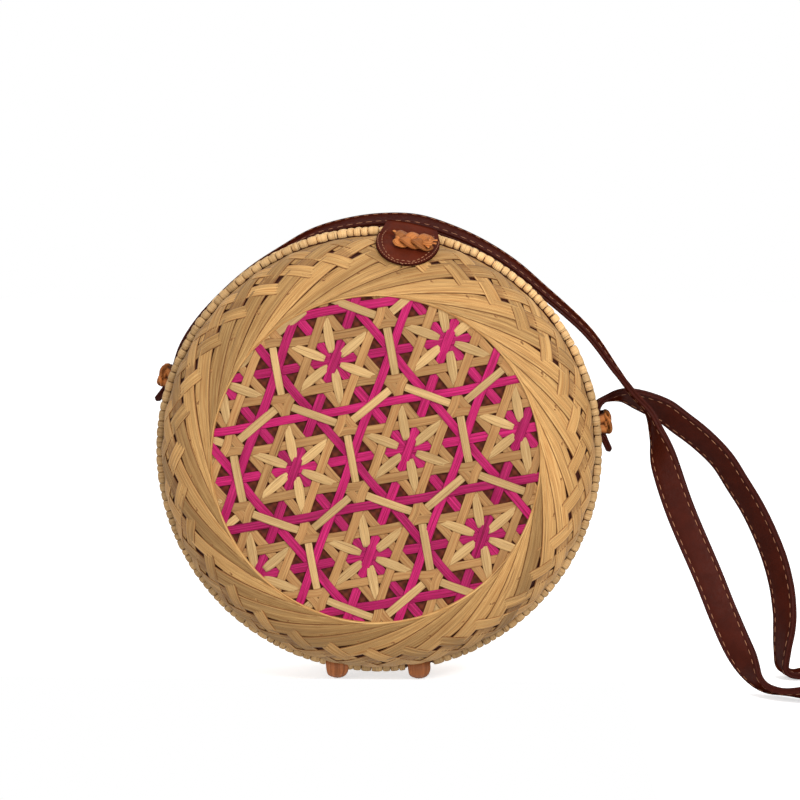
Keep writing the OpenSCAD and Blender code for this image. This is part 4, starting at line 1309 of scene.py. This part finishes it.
def smooth_rows(rows, samples):
    """A smooth line through rows of values, with a number of samples between two of them."""
    padded = np.concatenate([rows[:1], rows, rows[-1:]])
    a, b, c, d = padded[:-3], padded[1:-2], padded[2:-1], padded[3:]
    u = (np.arange(samples) / samples)[None, :, None]
    a, b, c, d = (part[:, None] for part in (a, b, c, d))
    curve = (2 * b + (c - a) * u + (2 * a - 5 * b + 4 * c - d) * u ** 2 + (3 * b - a - 3 * c + d) * u ** 3) / 2
    return np.concatenate([curve.reshape(-1, 3), rows[-1:]])


# Across the strap in mm from its middle, and the share of the layer's thickness: a padded belt with stitched grooves
STRAP_HALF, STRAP_GROOVE = 6.5, 4.75
STRAP_SECTION = [(-6.5, 0.0), (-6.5, 0.72), (-6.25, 0.9), (-5.6, 0.97), (-5.1, 0.93), (-4.75, 0.82),
                 (-4.35, 0.92), (-2.6, 1.0), (0.0, 1.04), (2.6, 1.0), (4.35, 0.92), (4.75, 0.82),
                 (5.1, 0.93), (5.6, 0.97), (6.25, 0.9), (6.5, 0.72), (6.5, 0.0)]


def strap_frames(samples=8):
    """Along the strap: its middle, its ways across and out, and its share of the full width."""
    places, ways = strap_route()
    line = smooth_rows(places, samples)
    across = smooth_rows(ways, samples)
    run = unit(np.gradient(line, axis=0))
    across = unit(across - np.sum(across * run, axis=1, keepdims=True) * run)
    out = np.cross(run, across)
    index = np.arange(len(line))
    end = np.minimum(index, index[::-1]) / (samples * 0.9)
    tip = np.where(end < 1, 0.35 + 0.65 * np.sqrt(np.clip(1 - (1 - end) ** 2, 0, 1)), 1.0)
    return line, across, out, tip[:, None]


def shoulder_strap():
    """The strap's two layers, rounded at their cut ends, and the stitches in their grooves."""
    scale = bpy.context.scene.bag_sizes.strap_width / MM / (2 * STRAP_HALF)
    line, across, out, tip = strap_frames()
    count = len(line)
    length = lengths(line)
    half = STRAP_T / 2
    section = np.array(STRAP_SECTION)
    sides = section[:, 0] * scale
    end = np.clip(np.minimum(length, length[-1] - length) / 1.4, 0, 1)
    thin = 0.25 + 0.75 * np.sqrt(1 - (1 - end) ** 2)
    faces, uvs = tube(count, len(section), length * MM, sides * MM)
    edge = np.tile(np.abs(section[:, 0]) / STRAP_HALF, count)
    for name, sign, slot in (("strap_top_leather", 1, "leather_face"), ("strap_backing_leather", -1, "leather_back")):
        heights = sign * (0.005 + section[:, 1] * (half - 0.005))
        rings = (line[:, None] + across[:, None] * (sides * tip)[..., None]
                 + out[:, None] * (heights * thin[:, None])[..., None])
        points = rings.reshape(-1, 3)
        points[:, 2] = np.maximum(points[:, 2], 0.02)
        piece = mesh_piece(name + "_belt", points, faces, bag_material("strap"), uvs, {"edge": edge})
        finish_piece(piece, "back_half", slot, name)
    rows, outs = [], []
    inner = slice(6, count - 6)
    for sign in (1, -1):
        for side in (1, -1):
            row = line + across * (side * STRAP_GROOVE * scale) * tip + out * sign * (half * 0.86 + 0.06)
            row[:, 2] = np.maximum(row[:, 2], 0.3)
            rows.append(row[inner])
            outs.append((out * sign)[inner])
    stitch_rows("strap_stitches", "back_half", rows, outs)


# Section of a braid's strand: across, height and painted shade, darker at its edges and underneath
BRAID_SECTION = np.array([
    (-1.0, 0.0, 0.3), (-0.84, 0.38, 0.7), (-0.5, 0.54, 0.0), (0.5, 0.54, 0.0), (0.84, 0.38, 0.7), (1.0, 0.0, 0.3),
    (1.0, -0.5, 0.45), (-1.0, -0.5, 0.45)])


def braid(strips, centre, along, across, out, length, width, turns, strand, lift=2.0):
    """Three flat canes plaited along a line."""
    steps = 60
    share = np.linspace(0, 1, steps)
    to_end = np.minimum(share, 1 - share)
    x = (share - 0.5) * (length - 1.5)
    narrow = np.clip(to_end / 0.12, 0.35, 1)
    half = strand / 2 * np.clip(to_end / 0.06, 0.25, 1)
    for index in range(3):
        angle = 2 * math.pi * (turns * share + index / 3)
        y = (width - strand) / 2 * np.sin(angle) * narrow
        z = 1.15 * np.sin(2 * angle) + lift
        place = centre + x[:, None] * along + y[:, None] * across + z[:, None] * out
        way = unit(np.cross(out[None], np.gradient(place, axis=0))) * half[:, None]
        strips.add(place - way, place + way, np.repeat(out[None], steps, 0), 1.15, BRAID_SECTION,
                   0.08 + 0.3 * index, 0.1)


def rim_basis(angle, y, r):
    """A place over the rim, and the ways along it, to the back and out."""
    a = math.radians(angle)
    out = np.array([math.sin(a), 0.0, math.cos(a)])
    along = np.array([math.cos(a), 0.0, -math.sin(a)])
    deep = np.array([0.0, 1.0, 0.0])
    return BAG_CENTRE + r * out + y * deep, along, deep, out


def strap_knot(name, angle, seed):
    """A braid over the strap, tied through the wall on each side of it."""
    strips = Strips(seed)
    over_r = STRAP_IN_R + STRAP_T
    centre, along, deep, out = rim_basis(angle, STRAP_Y, over_r + 0.1)
    braid(strips, centre, deep, along, out, length=17.4, width=10.4, turns=1.3, strand=4.8, lift=2.7)
    steps = 14
    share = np.linspace(0, 1, steps)
    way = np.repeat(along[None], steps, 0) * 2.3
    for side in (-1, 1):
        y = STRAP_Y + side * 8.1
        base = rim_basis(angle, y, 0.0)[0]
        wall = on_ellipse(math.asin((y - SHOULDER_D) / SHOULDER_DEEP))[0]
        r = wall - 0.4 + (over_r + 2.0 - wall) * share
        for spot in (-2.5, 2.5):
            place = (base + r[:, None] * out + spot * (0.5 + 0.5 * share)[:, None] * along
                     - (side * 1.2 * share ** 3)[:, None] * deep)
            strips.add(place - way, place + way, np.repeat(deep[None] * side, steps, 0), 0.9, crown(1, 0.3), 0.5)
    finish_piece(strips.piece(name + "_braid", bag_material("knot")), "back_half", "knot_cane", name)


# The cut ends of the tab's knot: across, up, turn in radians and length
TAB_KNOT_TAILS = ((-7.4, 3.4, 2.5, 2.8), (7.0, 1.6, 0.1, 3.2), (6.8, -0.4, -0.2, 3.2), (5.6, -3.0, -0.9, 2.4))


def tab_knot():
    """A braid across the tab, with its cut ends."""
    angle = math.radians(30)
    out_by = FIT + 2 * TAB_T + 0.1
    r, d = on_ellipse(angle, out_by)
    way_r, way_d = unit([math.cos(angle) / (SHOULDER_WIDE + out_by), math.sin(angle) / (SHOULDER_DEEP + out_by)])
    c, s = math.cos(TAB_ANGLE), math.sin(TAB_ANGLE)
    radial = np.array([s, 0.0, c])
    side = np.array([c, 0.0, -s])
    centre = BAG_CENTRE + r * radial + np.array([0.0, -d, 0.0]) + 0.095 * TAB_W * side
    out = way_r * radial + np.array([0.0, -way_d, 0.0])
    across = np.cross(out, side)
    strips = Strips(77)
    braid(strips, centre, side, across, out, length=17.5, width=11.4, turns=1.02, strand=5.2)
    steps = 8
    for x, y, turn, length in TAB_KNOT_TAILS:
        way = math.cos(turn) * side + math.sin(turn) * across
        wide = 0.95 * (-math.sin(turn) * side + math.cos(turn) * across)
        run = np.linspace(0, length, steps)[:, None]
        place = centre + x * side + y * across + run * way + (2.0 + 0.12 * run) * out
        strips.add(place - wide, place + wide, np.repeat(out[None], steps, 0), 0.7, crown(1, 0.2), 1.0)
    finish_piece(strips.piece("tab_knot_braid", bag_material("knot")), "front_half", "knot_cane", "tab_knot")


def photo_camera(scene):
    """The camera from the photo's place."""
    way = np.array([math.sin(VIEW_TURN) * math.cos(VIEW_RISE), -math.cos(VIEW_TURN) * math.cos(VIEW_RISE),
                    math.sin(VIEW_RISE)])
    eye = np.array(VIEW_TARGET) + VIEW_DISTANCE * way
    lens = bpy.data.cameras.new("Photo camera")
    lens.sensor_width = 36.0
    lens.lens = PIXELS_PER_MM * VIEW_DISTANCE / IMAGE_SIDE * lens.sensor_width
    lens.clip_start, lens.clip_end = 0.01, 50.0
    camera = bpy.data.objects.new("Photo camera", lens)
    camera.matrix_world = (
        Matrix.Translation((eye * MM).tolist()) @ Matrix.Rotation(VIEW_TURN, 4, "Z")
        @ Matrix.Rotation(math.pi / 2 - VIEW_RISE, 4, "X") @ Matrix.Rotation(VIEW_ROLL, 4, "Z"))
    scene.collection.objects.link(camera)
    scene.camera = camera


# Each lamp: its name, its place, its size, its power and the place that it is turned to, in metres and watts
LAMPS = (("Key lamp", (0.9, -1.7, 1.3), 0.7, 30.0, (0.0, 0.0, 0.1)),
         ("Fill lamp", (-1.3, -1.6, 0.8), 1.2, 10.0, (0.0, 0.0, 0.1)),
         ("Top lamp", (0.1, 0.3, 2.0), 1.2, 4.0, (0.0, 0.0, 0.1)),
         ("Low lamp", (0.2, -1.5, 0.10), 0.8, 8.0, (0.0, 0.0, 0.03)))


def lamp(scene, name, place, size, power, aim):
    """A round lamp that is turned to a place."""
    data = bpy.data.lights.new(name, "AREA")
    data.shape = "DISK"
    data.size = size
    data.energy = power
    light = bpy.data.objects.new(name, data)
    way = np.array(aim) - np.array(place)
    pitch = math.atan2(math.hypot(way[0], way[1]), -way[2])
    light.location = place
    light.rotation_euler = (pitch, 0.0, math.atan2(way[1], way[0]) - math.pi / 2)
    scene.collection.objects.link(light)


def studio():
    """Camera, floor, world and lamps."""
    scene = bpy.context.scene
    scene.view_settings.view_transform = "Standard"
    photo_camera(scene)

    # the bag stands at the floor's edge, so that the opened dish swings clear of it; the floor goes on
    # forwards only on the right, where the strap lies
    reach, side, near = 3.0, 0.112, -0.002
    mesh = bpy.data.meshes.new("Studio floor")
    corners = [(-reach, near, 0), (side, near, 0), (side, -reach, 0), (reach, -reach, 0), (reach, near, 0),
               (reach, reach, 0), (-reach, reach, 0)]
    mesh.from_pydata(corners, [], [(0, 1, 4, 5, 6), (1, 2, 3, 4)])
    floor = link_piece("Studio floor", mesh)
    material = bpy.data.materials.new("Studio floor")
    material.use_nodes = True
    tree = material.node_tree
    tree.nodes.remove(tree.nodes["Principled BSDF"])
    paper = add(tree, "ShaderNodeBsdfDiffuse", {"Color": (0.93, 0.93, 0.93, 1)})
    path = add(tree, "ShaderNodeLightPath")
    glow = add(tree, "ShaderNodeEmission", {
        "Color": (1, 1, 1, 1), "Strength": calc(tree, "MULTIPLY", path.outputs["Is Camera Ray"], 0.6)})
    both = add(tree, "ShaderNodeAddShader", {0: paper.outputs[0], 1: glow.outputs[0]})
    tree.links.new(both.outputs[0], tree.nodes["Material Output"].inputs["Surface"])
    mesh.materials.append(material)

    world = bpy.data.worlds.new("Studio")
    scene.world = world
    world.use_nodes = True
    tree = world.node_tree
    ground = tree.nodes["Background"]
    path = add(tree, "ShaderNodeLightPath")
    ground.inputs["Color"].default_value = (1, 1, 1, 1)
    seen = calc(tree, "MAXIMUM", path.outputs["Is Camera Ray"], path.outputs["Is Transmission Ray"])
    seen = calc(tree, "MAXIMUM", seen, path.outputs["Is Glossy Ray"])
    strength = calc(tree, "ADD", calc(tree, "MULTIPLY", seen, 0.45), 0.55)
    tree.links.new(strength, ground.inputs["Strength"])

    for row in LAMPS:
        lamp(scene, *row)


class BAG_OT_studio(bpy.types.Operator):
    """Floor, lights, world and camera"""
    bl_idname = "bag.studio"
    bl_label = "Studio"

    def execute(self, context):
        studio()
        return {"FINISHED"}


class BAG_OT_shoulders(bpy.types.Operator):
    """Woven shoulders of both dishes"""
    bl_idname = "bag.shoulders"
    bl_label = "Woven shoulders"

    def execute(self, context):
        for half, body, seed in HALVES:
            shoulder_weave(half, body, seed)
            shoulder_backing(half, body)
            lining(half, body)
        return {"FINISHED"}


class BAG_OT_stars(bpy.types.Operator):
    """Star weave of both panels"""
    bl_idname = "bag.stars"
    bl_label = "Star weave"

    def execute(self, context):
        for half, body, seed in HALVES:
            star_weave(half, body, 100 * seed)
        return {"FINISHED"}


class BAG_OT_rims(bpy.types.Operator):
    """Wrapped rims and the hinge loops"""
    bl_idname = "bag.rims"
    bl_label = "Rims and hinge loops"

    def execute(self, context):
        for half, body, seed in HALVES:
            rim_wraps(half, body, seed)
        hinge_loop("hinge_loop_left", -HINGE_LOOP_X, 190)
        hinge_loop("hinge_loop_right", HINGE_LOOP_X, 188)
        return {"FINISHED"}


class BAG_OT_tab(bpy.types.Operator):
    """Leather tab with its stitches and knot"""
    bl_idname = "bag.tab"
    bl_label = "Leather tab"

    def execute(self, context):
        leather_tab()
        tab_knot()
        return {"FINISHED"}


class BAG_OT_strap(bpy.types.Operator):
    """Leather strap with its stitches and knots"""
    bl_idname = "bag.strap"
    bl_label = "Leather strap"

    def execute(self, context):
        shoulder_strap()
        strap_knot("strap_knot_left", STRAP_KNOT_LEFT, 31)
        strap_knot("strap_knot_right", STRAP_KNOT_RIGHT, 32)
        return {"FINISHED"}


class BAG_OT_finishes(bpy.types.Operator):
    """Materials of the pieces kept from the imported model"""
    bl_idname = "bag.finishes"
    bl_label = "Kept pieces"

    def execute(self, context):
        kept = {"front_ground_panel": "ground", "back_ground_panel": "ground", "front_rim_hoop": "hoop",
                "back_rim_hoop": "hoop", "clasp_keeper": "steel", "tab_magnet": "steel"}
        for name, finish in kept.items():
            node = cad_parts[name]
            node.data.materials.clear()
            node.data.materials.append(bag_material(finish))
        return {"FINISHED"}


STEPS = (BAG_OT_studio, BAG_OT_shoulders, BAG_OT_stars, BAG_OT_rims, BAG_OT_tab, BAG_OT_strap, BAG_OT_finishes)


class BAG_PT_panel(bpy.types.Panel):
    """Sizes, colours and steps of the circle bag"""
    bl_idname = "BAG_PT_panel"
    bl_label = "Circle bag"
    bl_space_type = "VIEW_3D"
    bl_region_type = "UI"
    bl_category = "Circle bag"

    def draw(self, context):
        for group in (context.scene.bag_sizes, context.scene.bag_colours):
            column = self.layout.column()
            for name in group.__annotations__:
                column.prop(group, name)
        for step in STEPS:
            self.layout.operator(step.bl_idname)


CLASSES = (BagSizes, BagColours) + STEPS + (BAG_PT_panel,)


def register():
    for item in CLASSES:
        bpy.utils.register_class(item)
    bpy.types.Scene.bag_sizes = PointerProperty(type=BagSizes)
    bpy.types.Scene.bag_colours = PointerProperty(type=BagColours)


def unregister():
    del bpy.types.Scene.bag_colours
    del bpy.types.Scene.bag_sizes
    for item in reversed(CLASSES):
        bpy.utils.unregister_class(item)


def main():
    register()
    for step in STEPS:
        group, name = step.bl_idname.split(".")
        getattr(getattr(bpy.ops, group), name)()


if __name__ == "__main__":
    main()
